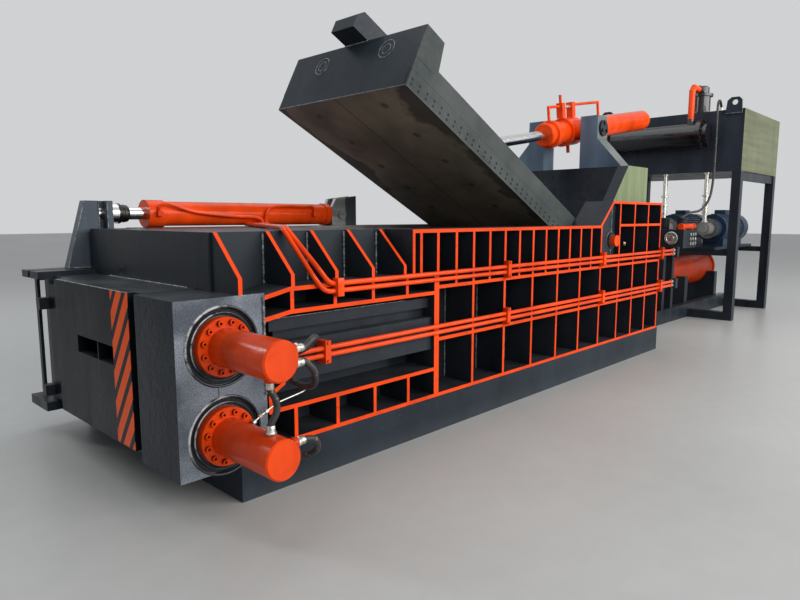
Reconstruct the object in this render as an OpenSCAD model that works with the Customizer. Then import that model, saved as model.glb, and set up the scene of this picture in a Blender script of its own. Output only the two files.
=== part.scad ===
/* [Frame] */
// Overall width over the side ribs
body_w = 2120; // [1900:10:2400]
// Length of the base skid
skid_l = 5460; // [5300:10:5800]
// Height of the base skid
skid_h = 250; // [180:5:300]
// Thickness of plate in the skid and in the rear box
plate_t = 30; // [20:1:40]
// Depth of a side wall, ribs and inner plate together
wall_d = 300; // [240:5:340]
// Thickness of the inner wall plate
wall_t = 40; // [30:1:60]
// Thickness of the wear plate on the chamber floor
liner_t = 30; // [20:1:40]
// Height of the wall top beside the charging opening
wall_top_z = 1420; // [1360:10:1500]
// Height of the raised wall top at the rear
wall_rear_z = 1655; // [1600:5:1700]
// Thickness of the rails and ribs
rib_t = 24; // [16:1:32]
// Where the charging opening starts
mouth_x = 1345; // [1320:5:1345]
// Pitch of the upper ribs
rib_pitch = 201; // [190:1:210]

/* [Press head] */
// Front of the press head, measured forward of the skid
head_front = 340; // [320:5:400]
// Width of the side cylinder block
block_w = 420; // [380:5:460]
// Underside of the press head
head_low_z = 205; // [150:5:230]
// Top of the side cylinder block
block_top_z = 1105; // [1080:5:1150]
// Rear face of the side cylinder block
block_rear_x = 170; // [150:5:180]
// Thickness of the front wall
front_t = 60; // [40:5:80]
// Height of the ceiling over the bale
ceiling_z = 1060; // [1040:5:1062]
// Width of the gap between the block and the front wall
head_gap = 80; // [40:5:120]

/* [Side cylinders] */
// Height of the upper side cylinder
side_high_z = 857; // [820:1:880]
// Height of the lower side cylinder
side_low_z = 395; // [380:1:430]
// Radius of a side cylinder barrel
side_r = 99; // [85:1:110]
// Bore radius of a side cylinder
side_bore_r = 76; // [60:1:80]
// Radius of a side rod
side_rod_r = 55; // [40:1:58]
// How far the barrels stand out
side_out = 500; // [460:5:560]
// Radius of the cylinder flange
flange_r = 152; // [140:1:165]
// Bolts in each flange
flange_bolts = 12; // [8:1:16]

/* [Lid] */
// Gap between the front of the closed lid and the opening's front edge
mouth_gap = 17; // [14:1:60]
// Running gap between the lid and each wall
lid_gap = 10; // [6:1:20]
// Opening angle of the lid as modelled
lid_open = 26.8; // [20:0.1:40]
// Height of the lid hinge
hinge_z = 1268; // [1268:1:1280]
// Distance of the lid hinge from the rear end of the skid
hinge_back = 1170; // [1150:5:1200]
// Radius of the hinge pin
hinge_pin_r = 55; // [40:1:65]
// Depth of the lid below its hinge line
lid_low = 200; // [170:1:200]
// Height of the raised front of the lid
lid_nose_h = 305; // [280:1:330]
// Height of the lid's top plate above its hinge line
lid_top = 84; // [60:1:100]
// Width of the beam on the lid
spine_w = 260; // [200:5:320]

/* [Lid cylinder] */
// Distance of the trunnion from the rear end of the skid
trunnion_back = 295; // [280:1:310]
// Height of the trunnion
trunnion_z = 2498; // [2480:1:2510]
// Radius of the lid cylinder barrel
lid_cyl_r = 132; // [110:1:140]
// Length of the barrel behind the trunnion
lid_cyl_back = 2150; // [1900:10:2300]
// Length of the barrel ahead of the trunnion
lid_cyl_front = 470; // [420:10:520]
// Radius of the lid rod
lid_rod_r = 55; // [40:1:65]
// Radius of a trunnion stub
stub_r = 70; // [50:1:80]
// Distance of the rod pin along the lid
lug_u = 1149; // [1120:1:1180]
// Height of the rod pin above the hinge line
lug_n = 474; // [450:1:490]
// Radius of the rod pin
lug_pin_r = 45; // [35:1:55]

/* [Main ram] */
// Length of the ram body
ram_l = 1250; // [1150:10:1300]
// Distance of the drawn back ram's face ahead of the lid hinge
ram_back = 210; // [180:5:250]
// Running gap round the rams
ram_gap = 6; // [4:1:8]
// Radius of the main cylinder
main_r = 275; // [240:1:290]
// Radius of the main rod
main_rod_r = 140; // [110:1:160]
// Length of the main cylinder
main_l = 4400; // [4350:10:4500]
// Height of the main cylinder
main_z = 660; // [640:1:680]

/* [Gate] */
// Thickness of the gate slab
gate_t = 210; // [180:5:220]
// Length of the gate slab
gate_l = 580; // [560:5:600]
// Radius of the gate cylinder barrel
gate_cyl_r = 95; // [80:1:98]
// Length of the gate cylinder barrel
gate_cyl_l = 1755; // [1600:10:1850]
// Gap between the wall top and the gate cylinder
gate_lift = 11; // [11:1:40]
// Radius of the gate rod
gate_rod_r = 45; // [35:1:50]

/* [Pipes] */
// Radius of the pipes along the wall
pipe_r = 15; // [10:1:17]
// Distance between the two pipes of a pair
pipe_pitch = 42; // [38:1:60]
// Height of the upper pipe pair
pipes_high_z = 1078; // [1070:1:1090]
// Height of the lower pipe pair
pipes_low_z = 712; // [705:1:730]
// Thickness of a hydraulic hose
hose_d = 34; // [24:1:36]

/* [Power unit] */
// Distance of the oil tank behind the skid
tank_gap = 2690; // [2500:10:2800]
// Length of the oil tank
tank_l = 1850; // [1600:10:2000]
// Width of the oil tank
tank_w = 2150; // [1900:10:2300]
// Underside of the oil tank
tank_z = 2150; // [2100:10:2250]
// Height of the oil tank
tank_h = 860; // [700:10:900]
// Width of a tank leg
leg_w = 120; // [100:5:150]
// Radius of the oil cooler
cooler_r = 165; // [140:5:180]

/* [Hidden] */
$fn = 48;

half_w = body_w / 2;
inner_y = half_w - wall_d;
panel_y = inner_y + wall_t;
floor_z = skid_h + liner_t;
wall_end_x = skid_l - 40;
hinge_x = skid_l - hinge_back;
trunnion_x = skid_l - trunnion_back;
tank_x = skid_l + tank_gap;
ram_front_x = hinge_x - ram_back;
lid_l = hinge_x - mouth_x - mouth_gap;
slope_x0 = hinge_x - 320;
slope_x1 = hinge_x - 65;
boss_r = hinge_pin_r + 27;
boss_x = slope_x0 + 0.5 * rib_t;
rib_x0 = mouth_x + 225;
upper_count = floor((boss_x - rib_x0) / rib_pitch - 0.4);
rear_pitch = (wall_end_x - rib_t - hinge_x - boss_r - 4) / 3;
low_rail_z = skid_h + 420;
mid_rail_z = wall_top_z - 385;
bay_rail_z = wall_rear_z - 225;
ledge_z = block_top_z + 19;
bank_low_z = skid_h + 190;
beam_z = bank_low_z + 150;
beam_mid_z = beam_z + 225;
sill_low_z = beam_mid_z + 65;
sill_z = sill_low_z + 68;
head_top_z = block_top_z + 2;
gate_cyl_z = wall_top_z + gate_cyl_r + gate_lift;
block_y = -half_w + block_w;
side_x = (block_rear_x - head_front) / 2;
bale_x0 = -head_front + front_t;
gate_y0 = panel_y + 5;
gate_y1 = gate_y0 + gate_t;
gate_mid_y = (gate_y0 + gate_y1) / 2;
gate_x0 = bale_x0 + 30;
gate_low_z = floor_z - 25;
gate_top_z = ceiling_z + 30;
guide_t = 48;
guide_top_z = gate_top_z + 2 + guide_t;
lid_half = inner_y - lid_gap;
lug_x_now = hinge_x - lug_u * cos(lid_open) + lug_n * sin(lid_open);
lug_z_now = hinge_z + lug_u * sin(lid_open) + lug_n * cos(lid_open);
lid_cyl_tilt = atan2(trunnion_z - lug_z_now, trunnion_x - lug_x_now);
rod_reach = norm([trunnion_x - lug_x_now, trunnion_z - lug_z_now]);
rear_roof_z = ceiling_z + 2;
roof_top_z = rear_roof_z + 36;
box_top_z = 2045;
box_edge_x = hinge_x + 640;
box_foot_x = hinge_x + 295;
cheek_y1 = half_w - 180;
boss_y = half_w - 50;
beam_in = 30;
bracket_t = 230;
bracket_in = 235;
clear = 0.05;
pipe_y = -half_w - pipe_r - 6;

module from_front() {
    translate([-skid_l / 2, 0, 0])
        children();
}

module box(x0, x1, y0, y1, z0, z1) {
    translate([x0, y0, z0])
        cube([x1 - x0, y1 - y0, z1 - z0]);
}

// A plate cut to an outline in X and Z, between two places in Y
module plate_xz(outline, y0, y1) {
    translate([0, y1, 0])
        rotate([90, 0, 0])
            linear_extrude(y1 - y0)
                polygon(outline);
}

// A plate cut to an outline in Y and Z, between two places in X
module plate_yz(outline, x0, x1) {
    translate([x0, 0, 0])
        rotate([90, 0, 90])
            linear_extrude(x1 - x0)
                polygon(outline);
}

module rod_x(x0, x1, y, z, r) {
    translate([x0, y, z])
        rotate([0, 90, 0])
            cylinder(h = x1 - x0, r = r);
}

module rod_y(y0, y1, x, z, r) {
    translate([x, y1, z])
        rotate([90, 0, 0])
            cylinder(h = y1 - y0, r = r);
}

module rod_between(a, b, r) {
    d = b - a;
    translate(a)
        rotate([0, acos(d[2] / norm(d)), atan2(d[1], d[0])])
            cylinder(h = norm(d), r = r);
}

// A pipe of straight runs with a ball at each elbow
module pipe_run(route, r) {
    for (i = [0 : len(route) - 2]) {
        rod_between(route[i], route[i + 1], r);
    }
    for (i = [1 : 1 : len(route) - 2]) {
        translate(route[i])
            sphere(r = r * 1.02);
    }
}

module both_sides() {
    children();
    mirror([0, 1, 0])
        children();
}

module on_lid() {
    translate([hinge_x, 0, hinge_z])
        rotate([0, lid_open, 0])
            children();
}

module on_lid_cylinder() {
    translate([trunnion_x, 0, trunnion_z])
        rotate([0, -lid_cyl_tilt, 0])
            children();
}

// The lower frame: long sills, cross members and a deck plate
module base_skid() {
    sill = 240;
    bays = 5;
    bay = (skid_l - 2 * sill) / bays;
    keel = 130;
    color("#2f3440")
        from_front()
            difference() {
                box(0, skid_l, -half_w, half_w, 0, skid_h);
                both_sides()
                    for (i = [0 : bays - 1]) {
                        box(sill + i * bay, sill + (i + 0.8) * bay,
                            keel, half_w - sill,
                            -1, skid_h - plate_t);
                    }
            }
}

module floor_liner() {
    color("#6c6f73")
        from_front()
            box(block_rear_x + 10, wall_end_x - 10, -inner_y + 1,
                inner_y - 1, skid_h, floor_z);
}

post_x = mouth_x - 20;

// The outline of a wall plate, whose top lies under the rails
function wall_outline(x0, z0) = [
    [x0, skid_h], [x0, z0], [0, z0], [0, wall_top_z],
    [post_x, wall_top_z], [post_x, wall_top_z - rib_t],
    [slope_x0 + 0.5 * rib_t, wall_top_z - rib_t],
    [slope_x1 + 0.5 * rib_t, wall_rear_z - rib_t],
    [wall_end_x, wall_rear_z - rib_t], [wall_end_x, skid_h]];

module near_wall_panel() {
    color("#23272f")
        from_front()
            difference() {
                plate_xz(wall_outline(block_rear_x, block_top_z),
                    -panel_y, -inner_y);
                rod_y(-panel_y - 1, -inner_y + 1, hinge_x, hinge_z,
                    hinge_pin_r + clear);
            }
}

module far_wall_panel() {
    color("#23272f")
        from_front()
            difference() {
                plate_xz(wall_outline(block_rear_x, guide_top_z),
                    inner_y, panel_y);
                rod_y(inner_y - 1, panel_y + 1, hinge_x, hinge_z,
                    hinge_pin_r + clear);
            }
}

function upper_rib_x(i) = rib_x0 + i * rib_pitch;
function rear_rib_x(i) = wall_end_x - rib_t - (3 - i) * rear_pitch;

// The plate that backs the hinge boss, bored for the hinge pin
module boss_plate() {
    difference() {
        plate_xz([[boss_x, mid_rail_z - 1],
            [rear_rib_x(0) + 1, mid_rail_z - 1],
            [rear_rib_x(0) + 1, wall_rear_z - 1],
            [slope_x1 + 0.5 * rib_t, wall_rear_z - rib_t],
            [boss_x + 8, wall_top_z - 5], [boss_x, wall_top_z - 5]],
            -boss_y, -boss_y + plate_t);
        rod_y(-half_w, -panel_y + 1, hinge_x, hinge_z,
            hinge_pin_r + clear);
    }
}

// One side's grid of rails and ribs, standing out from the wall plate
module rib_grid() {
    y0 = -half_w;
    y1 = -panel_y;
    plate_xz([[post_x, wall_top_z], [slope_x0, wall_top_z],
        [slope_x1, wall_rear_z], [wall_end_x, wall_rear_z],
        [wall_end_x, wall_rear_z - rib_t],
        [slope_x1 + 0.5 * rib_t, wall_rear_z - rib_t],
        [slope_x0 + 0.5 * rib_t, wall_top_z - rib_t],
        [post_x, wall_top_z - rib_t]], y0, -inner_y);
    box(rib_x0, wall_end_x, y0, y1, mid_rail_z - rib_t, mid_rail_z);
    box(rib_x0, wall_end_x, y0, y1, low_rail_z - rib_t, low_rail_z);
    box(rib_x0, wall_end_x, y0, y1, skid_h, skid_h + rib_t);
    box(rear_rib_x(0), wall_end_x, y0, y1, bay_rail_z - rib_t, bay_rail_z);
    for (x = [post_x, post_x + 3 * rib_t]) {
        box(x, x + rib_t, y0, y1, ledge_z, wall_top_z - 1);
    }
    for (i = [0 : upper_count]) {
        box(upper_rib_x(i), upper_rib_x(i) + rib_t, y0, y1,
            mid_rail_z, wall_top_z - 1);
    }
    for (i = [0 : 2 : upper_count]) {
        box(upper_rib_x(i), upper_rib_x(i) + rib_t, y0, y1,
            skid_h, mid_rail_z);
    }
    for (i = [0 : 3]) {
        box(rear_rib_x(i), rear_rib_x(i) + rib_t, y0, y1,
            skid_h, wall_rear_z - 1);
    }
    box(boss_x, boss_x + rib_t, y0, y1, skid_h, wall_top_z - 1);
    boss_plate();
}

module near_rib_grid() {
    color("#f4562a")
        from_front()
            rib_grid();
}

module far_rib_grid() {
    color("#f4562a")
        from_front()
            mirror([0, 1, 0])
                rib_grid();
}

bank_step = (rib_x0 - block_rear_x - 168) / 4;

// Rails, dividers and box beams of the near wall beside the bale chamber
module near_front_bank() {
    y0 = -half_w;
    y1 = -panel_y;
    x0 = block_rear_x + 2;
    x1 = rib_x0 - 1;
    color("#f4562a")
        from_front() {
            plate_xz([[x0, ledge_z - rib_t - 33],
                [x0 + 165, ledge_z - rib_t], [x1, ledge_z - rib_t],
                [x1, ledge_z], [x0 + 165, ledge_z],
                [x0, ledge_z - 33]], y0, y1);
            plate_xz([[x0, sill_z], [x0 + 165, sill_z + 26],
                [x1, sill_z + 26], [x1, sill_z + 26 + rib_t],
                [x0 + 165, sill_z + 26 + rib_t],
                [x0, sill_z + rib_t]], y0, y1);
            for (i = [0 : 3]) {
                box(x0 + 165 + i * bank_step,
                    x0 + 165 + i * bank_step + rib_t, y0, y1,
                    sill_z + 40, ledge_z - 12);
            }
            box(x0 + 10, x1, y0, y1, bank_low_z, bank_low_z + rib_t);
            box(x0, x1, y0, y1, skid_h, skid_h + rib_t);
            plate_xz([[x0 + 10, bank_low_z + rib_t],
                [x0 + 10 + rib_t, bank_low_z + rib_t],
                [x0 + 10 + rib_t, beam_z - 50], [x0 + 120, beam_z],
                [x0 + 120, beam_z + rib_t], [x0 + 10, beam_z - 35]],
                y0, y1);
            for (i = [0 : 3]) {
                box(x0 + 175 + i * bank_step,
                    x0 + 175 + i * bank_step + rib_t, y0, y1,
                    skid_h, bank_low_z + 10);
            }
            box(x0 + 120, x1, y0 + beam_in, y1, beam_z, beam_mid_z);
            box(x0 + 120, x1, y0 + 110, y1, beam_mid_z, sill_low_z);
            box(x0 + 60, x1, y0 + 60, y1, sill_low_z, sill_z);
            box(x1 - rib_t, x1, y0, y1, skid_h, ledge_z - 12);
        }
}

module far_front_bank() {
    y0 = panel_y;
    y1 = half_w;
    x0 = 360;
    x1 = rib_x0 - 1;
    color("#f4562a")
        from_front() {
            for (z = [skid_h, low_rail_z - rib_t, mid_rail_z - rib_t]) {
                box(x0, x1, y0, y1, z, z + rib_t);
            }
            box(x0, post_x - 1, y0, y1, wall_top_z - rib_t,
                wall_top_z);
            for (i = [0 : 3]) {
                box(x0 + i * bank_step, x0 + i * bank_step + rib_t,
                    y0, y1, skid_h, wall_top_z - 1);
            }
        }
}

// Slanted gusset plates between the ledge and the roof edge
module near_gussets() {
    foot_x = [15, mouth_x - 1000, mouth_x - 685, mouth_x - 391,
        mouth_x - 105];
    color("#f4562a")
        from_front()
            for (x = foot_x) {
                foot_z = x < block_rear_x ? block_top_z : ledge_z;
                plate_yz([[-half_w, foot_z], [-half_w, ledge_z + 66],
                    [-panel_y - 30, wall_top_z],
                    [-panel_y, wall_top_z], [-panel_y, foot_z]],
                    x, x + rib_t);
            }
}

// The box beam over the bale chamber, ahead of the charging opening
module upper_box() {
    y1 = inner_y - 0.5;
    color("#343a46")
        from_front() {
            box(0, mouth_x, -y1, y1, wall_top_z - plate_t, wall_top_z);
            box(block_rear_x, mouth_x, -y1, y1, ceiling_z,
                ceiling_z + plate_t);
            box(0, plate_t, -y1, y1, head_top_z, wall_top_z);
            box(mouth_x - plate_t, mouth_x, -y1, y1, ceiling_z,
                wall_top_z);
            for (y = [-inner_y / 2, 0, inner_y / 2]) {
                box(block_rear_x + 2, mouth_x, y - 12, y + 12,
                    ceiling_z, wall_top_z);
            }
        }
}

// The thick block that carries both side cylinders
module head_block() {
    color("#8b8f92")
        from_front()
            difference() {
                box(-head_front, block_rear_x, -half_w, block_y,
                    head_low_z, block_top_z);
                box(-1, block_rear_x + 1, -half_w - 1, block_y + 1,
                    head_low_z - 1, skid_h);
                for (z = [side_high_z, side_low_z]) {
                    rod_y(-half_w - 1, block_y + 1, side_x, z,
                        side_r + clear);
                    rod_y(-half_w - 1, -half_w + 18, side_x, z,
                        flange_r + 48);
                }
            }
}

// The front wall of the press head, with two viewing slots
module front_wall() {
    y0 = block_y + head_gap;
    slot_y = -half_w + 720;
    color("#343a46")
        from_front()
            difference() {
                union() {
                    box(-head_front, bale_x0, y0, half_w - 520,
                        head_low_z + 40, head_top_z);
                    box(-head_front + 25, bale_x0, half_w - 520,
                        inner_y - 25, floor_z, ceiling_z);
                }
                for (y = [[0, 210], [222, 525]]) {
                    box(-head_front - 1, bale_x0 + 1, slot_y + y[0],
                        slot_y + y[1], floor_z + 405, floor_z + 510);
                }
            }
}

module head_floor() {
    color("#343a46")
        from_front()
            plate_xz([[bale_x0, head_low_z], [0, head_low_z],
                [0, skid_h], [block_rear_x + 9, skid_h],
                [block_rear_x + 9, floor_z], [bale_x0, floor_z]],
                block_y + 1, inner_y - 25);
}

module head_roof() {
    color("#343a46")
        from_front() {
            box(bale_x0, block_rear_x - 1, block_y, inner_y - 25,
                ceiling_z, head_top_z);
            box(-head_front + 40, bale_x0, block_y, block_y + head_gap,
                ceiling_z, head_top_z);
        }
}

// The frame that the gate slides in, with jaws that reach forward
module gate_keeper() {
    x0 = -head_front - 35;
    x1 = gate_x0 + gate_l + 20;
    arm_y0 = inner_y - 25;
    color("#343a46")
        from_front() {
            difference() {
                union() {
                    box(x0, x1, arm_y0, half_w, gate_top_z + 2,
                        guide_top_z);
                    box(x0, x1, arm_y0, half_w, gate_low_z - 62,
                        gate_low_z - 0.3);
                    box(x0 + 75, x1, gate_y1 + 2, half_w,
                        gate_low_z - 62, guide_top_z);
                }
                box(x0 - 1, x1 + 1, gate_mid_y - 22, gate_mid_y + 22,
                    gate_top_z, gate_top_z + guide_t + 10);
                box(bale_x0, block_rear_x, gate_y1, half_w + 1,
                    floor_z, ceiling_z);
                box(block_rear_x, x1 + 1, arm_y0 - 1, panel_y + 1,
                    gate_low_z - 63, gate_top_z + 60);
                box(0, x1 + 1, arm_y0 - 1, half_w + 1,
                    0, skid_h);
                box(0, x1 + 1, arm_y0 - 1, inner_y,
                    gate_top_z + 1, guide_top_z + 1);
            }
            box(x0, bale_x0 + 20, arm_y0, gate_y0 - 2, 890, 966);
            box(x0, bale_x0 + 20, arm_y0, gate_y0 - 2, 300, 372);
            box(-head_front + 30, bale_x0 + 20, arm_y0, gate_y0 - 2,
                gate_low_z - 2, gate_top_z + 2);
        }
}

module gate_slab() {
    color("#3a404c")
        from_front()
            box(gate_x0, gate_x0 + gate_l, gate_y0, gate_y1,
                gate_low_z, gate_top_z);
}

// The upright that the gate rod pushes on
module gate_bracket() {
    web = 20;
    z0 = gate_top_z;
    foot_z = guide_top_z + 4;
    top_z = gate_cyl_z + 90;
    y = gate_mid_y;
    color("#343a46")
        from_front()
            difference() {
                union() {
                    plate_xz([[-142, z0], [-142, foot_z], [-11, top_z],
                        [131, top_z], [131, z0]], y - web, y + web);
                    plate_xz([[-142, foot_z], [-11, top_z], [85, top_z],
                        [85, foot_z]], y - web - 40, y - web);
                    plate_yz([[y - 104, foot_z], [y - 100, top_z],
                        [y + 100, top_z], [y + 150, foot_z]],
                        130, 170);
                }
                rod_x(20, 171, y, gate_cyl_z, gate_rod_r + clear);
            }
}

gate_cyl_x0 = 470;
gate_eye_x = gate_cyl_x0 + gate_cyl_l + 140;

module gate_cylinder() {
    bore_r = gate_cyl_r - 20;
    color("#f4562a")
        from_front() {
            difference() {
                union() {
                    rod_x(gate_cyl_x0, gate_cyl_x0 + gate_cyl_l,
                        gate_mid_y, gate_cyl_z, gate_cyl_r);
                    rod_x(gate_cyl_x0 - 30, gate_cyl_x0 + 110,
                        gate_mid_y, gate_cyl_z, gate_cyl_r + 10);
                    rod_x(gate_cyl_x0 + gate_cyl_l - 60,
                        gate_cyl_x0 + gate_cyl_l,
                        gate_mid_y, gate_cyl_z, gate_cyl_r + 8);
                    box(gate_cyl_x0 + gate_cyl_l, gate_eye_x,
                        gate_mid_y - 35, gate_mid_y + 35,
                        gate_cyl_z - 70, gate_cyl_z + 70);
                    rod_y(gate_mid_y - 35, gate_mid_y + 35, gate_eye_x,
                        gate_cyl_z, 70);
                }
                rod_x(gate_cyl_x0 - 31, gate_cyl_x0 + 61,
                    gate_mid_y, gate_cyl_z, gate_rod_r + clear);
                rod_x(gate_cyl_x0 + 60, gate_cyl_x0 + gate_cyl_l - 60,
                    gate_mid_y, gate_cyl_z, bore_r);
                rod_y(gate_mid_y - 36, gate_mid_y + 36, gate_eye_x,
                    gate_cyl_z, 32 + clear);
            }
        }
}

module gate_rod() {
    color("silver")
        from_front() {
            rod_x(90, gate_cyl_x0 + gate_cyl_l - 200, gate_mid_y,
                gate_cyl_z, gate_rod_r);
            rod_x(gate_cyl_x0 + gate_cyl_l - 200,
                gate_cyl_x0 + gate_cyl_l - 80, gate_mid_y, gate_cyl_z,
                gate_cyl_r - 20 - clear);
            rod_x(170, 230, gate_mid_y, gate_cyl_z, gate_rod_r + 28);
        }
}

// Clevis lugs on the far wall, with the pin of the gate cylinder
module gate_cylinder_post() {
    color("#8b8f92")
        from_front() {
            for (y = [gate_mid_y - 72, gate_mid_y + 36]) {
                difference() {
                    plate_xz([[gate_eye_x - 120, wall_top_z],
                        [gate_eye_x - 120, gate_cyl_z + 60],
                        [gate_eye_x - 70, gate_cyl_z + 150],
                        [gate_eye_x + 190, gate_cyl_z + 180],
                        [gate_eye_x + 190, wall_top_z]],
                        y, y + 36);
                    rod_y(y - 1, y + 37, gate_eye_x, gate_cyl_z,
                        32 + clear);
                }
            }
            rod_y(gate_mid_y - 90, gate_mid_y + 90, gate_eye_x,
                gate_cyl_z, 32);
            for (y = [gate_mid_y - 90, gate_mid_y + 72]) {
                rod_y(y, y + 18, gate_eye_x, gate_cyl_z, 46);
            }
        }
}

// A side cylinder: capped barrel, gland in the block and bolted flange
module side_cylinder(z, ports) {
    color("#f4562a")
        from_front() {
            for (dz = ports) {
                rod_x(side_x + 85, side_x + 115, -half_w - 440, z + dz, 24);
            }
            translate([side_x, -half_w - side_out, z])
                rotate([-90, 0, 0])
                    rotate_extrude($fn = 64)
                        polygon([[0, 0], [side_r - 8, 0], [side_r, 8],
                            [side_r, side_out - 32],
                            [flange_r - 4, side_out - 32],
                            [flange_r, side_out - 28],
                            [flange_r, side_out + 18],
                            [side_r, side_out + 18],
                            [side_r, side_out + block_w],
                            [side_rod_r + clear, side_out + block_w],
                            [side_rod_r + clear,
                                side_out + block_w - 70],
                            [side_bore_r, side_out + block_w - 70],
                            [side_bore_r, 40], [0, 40]]);
        }
}

module upper_side_cylinder() {
    side_cylinder(side_high_z, [-35, 35]);
}

module lower_side_cylinder() {
    side_cylinder(side_low_z, [0, 45]);
}

module side_flange_bolts() {
    circle_r = (side_r + flange_r) / 2 + 2;
    color("#c9502c")
        from_front()
            for (z = [side_high_z, side_low_z]) {
                for (i = [0 : flange_bolts - 1]) {
                    a = (i + 0.5) * 360 / flange_bolts;
                    rod_y(-half_w - 50, -half_w - 32,
                        side_x + circle_r * cos(a),
                        z + circle_r * sin(a), 14);
                }
            }
}

platen_y0 = block_y + 20;
platen_y1 = platen_y0 + 180;

module side_rods() {
    color("silver")
        from_front()
            for (z = [side_high_z, side_low_z]) {
                rod_y(-half_w - side_out + 100, platen_y0 + 8, side_x, z,
                    side_rod_r);
                rod_y(-half_w - side_out + 50, -half_w - side_out + 120,
                    side_x, z, side_bore_r - clear);
            }
}

module side_platen() {
    g = ram_gap;
    x0 = bale_x0 + g;
    x1 = block_rear_x - g;
    color("#7c8084")
        from_front()
            difference() {
                box(x0, x1, platen_y0, platen_y1, floor_z + g,
                    ceiling_z - g);
                for (z = [side_high_z, side_low_z]) {
                    rod_y(platen_y0 - 1, platen_y0 + 8, side_x, z,
                        side_rod_r + 30);
                }
                box(x0 + 60, x1 - 60, platen_y0 - 1, platen_y0 + 120,
                    side_low_z + 130, side_high_z - 130);
            }
}

// The main ram: a face plate, a box body and ribs open to the rear
module main_ram() {
    g = ram_gap;
    y1 = inner_y - g;
    z0 = floor_z + g;
    z1 = ceiling_z - g;
    x0 = ram_front_x;
    x1 = ram_front_x + ram_l;
    color("#7c8084")
        from_front()
            difference() {
                box(x0, x1, -y1, y1, z0, z1);
                for (y = [-y1 + 50, 50]) {
                    box(x0 + 260, x1 + 1, y, y + y1 - 100,
                        z0 + 50, z1 - 50);
                }
            }
}

main_x0 = skid_l;
main_x1 = skid_l + main_l;

module main_rod() {
    color("silver")
        from_front() {
            rod_x(ram_front_x + ram_l, main_x1 - 260, 0, main_z,
                main_rod_r);
            rod_x(main_x1 - 330, main_x1 - 130, 0, main_z,
                main_r - 45 - clear);
        }
}

module main_cylinder() {
    color("#f4562a")
        from_front()
            translate([main_x0, 0, main_z])
                rotate([0, 90, 0])
                    rotate_extrude($fn = 96)
                        polygon([[main_rod_r + clear, 0],
                            [main_r + 75, 0], [main_r + 75, 70],
                            [main_r, 70], [main_r, main_l - 90],
                            [main_r + 20, main_l - 90],
                            [main_r + 20, main_l - 30],
                            [main_r - 40, main_l],
                            [0, main_l], [0, main_l - 80],
                            [main_r - 45, main_l - 80],
                            [main_r - 45, 130],
                            [main_rod_r + clear, 130]]);
}

module rear_wall() {
    color("#343a46")
        from_front()
            difference() {
                box(wall_end_x, skid_l, -half_w + 20, half_w - 20,
                    skid_h, roof_top_z);
                rod_x(wall_end_x - 1, skid_l + 1, 0, main_z,
                    main_rod_r + 20);
            }
}

module ram_roof() {
    color("#343a46")
        from_front()
            box(hinge_x + 60, wall_end_x, -inner_y + 0.5, inner_y - 0.5,
                rear_roof_z, roof_top_z);
}

// The box behind the lid: a slanted face, a deck and a back plate
module rear_box() {
    y1 = inner_y - 0.5;
    run = (box_edge_x - box_foot_x) / (box_top_z - wall_rear_z);
    low_z = 1450;
    low_x = box_foot_x - (wall_rear_z - low_z) * run;
    color("#343a46")
        from_front() {
            plate_xz([[low_x, low_z], [box_edge_x, box_top_z],
                [wall_end_x, box_top_z],
                [wall_end_x, box_top_z - plate_t],
                [box_edge_x + 15, box_top_z - plate_t],
                [low_x + 45, low_z]], -y1, y1);
            box(box_foot_x + 5, box_foot_x + 5 + plate_t, -y1, y1,
                roof_top_z, wall_rear_z - 20);
            box(wall_end_x - plate_t, wall_end_x, -y1, y1,
                roof_top_z, box_top_z);
        }
}

module rear_cheeks() {
    color("#8b8f92")
        from_front()
            both_sides()
                plate_xz([[box_foot_x, wall_rear_z],
                    [box_edge_x - 8, box_top_z],
                    [wall_end_x, box_top_z], [wall_end_x, wall_rear_z]],
                    inner_y, cheek_y1);
}

// An upright for one end of the trunnion, braced outwards at its foot
module trunnion_bracket() {
    outer = bracket_in + 208;
    foot = bracket_in + 510;
    color("#343a46")
        from_front()
            difference() {
                plate_yz([[-bracket_in, box_top_z],
                    [-bracket_in, trunnion_z + 135],
                    [-outer, trunnion_z + 135],
                    [-outer, trunnion_z - 120],
                    [-foot, box_top_z]],
                    trunnion_x - bracket_t / 2,
                    trunnion_x + bracket_t / 2);
                rod_y(-foot - 1, -bracket_in + 1, trunnion_x, trunnion_z,
                    stub_r + clear);
            }
}

module near_trunnion_bracket() {
    trunnion_bracket();
}

module far_trunnion_bracket() {
    mirror([0, 1, 0])
        trunnion_bracket();
}

module trunnion_caps() {
    y0 = bracket_in + 208;
    color("#2a2e36")
        from_front()
            both_sides()
                rod_y(y0, y0 + 26, trunnion_x, trunnion_z, 88);
}

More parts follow.
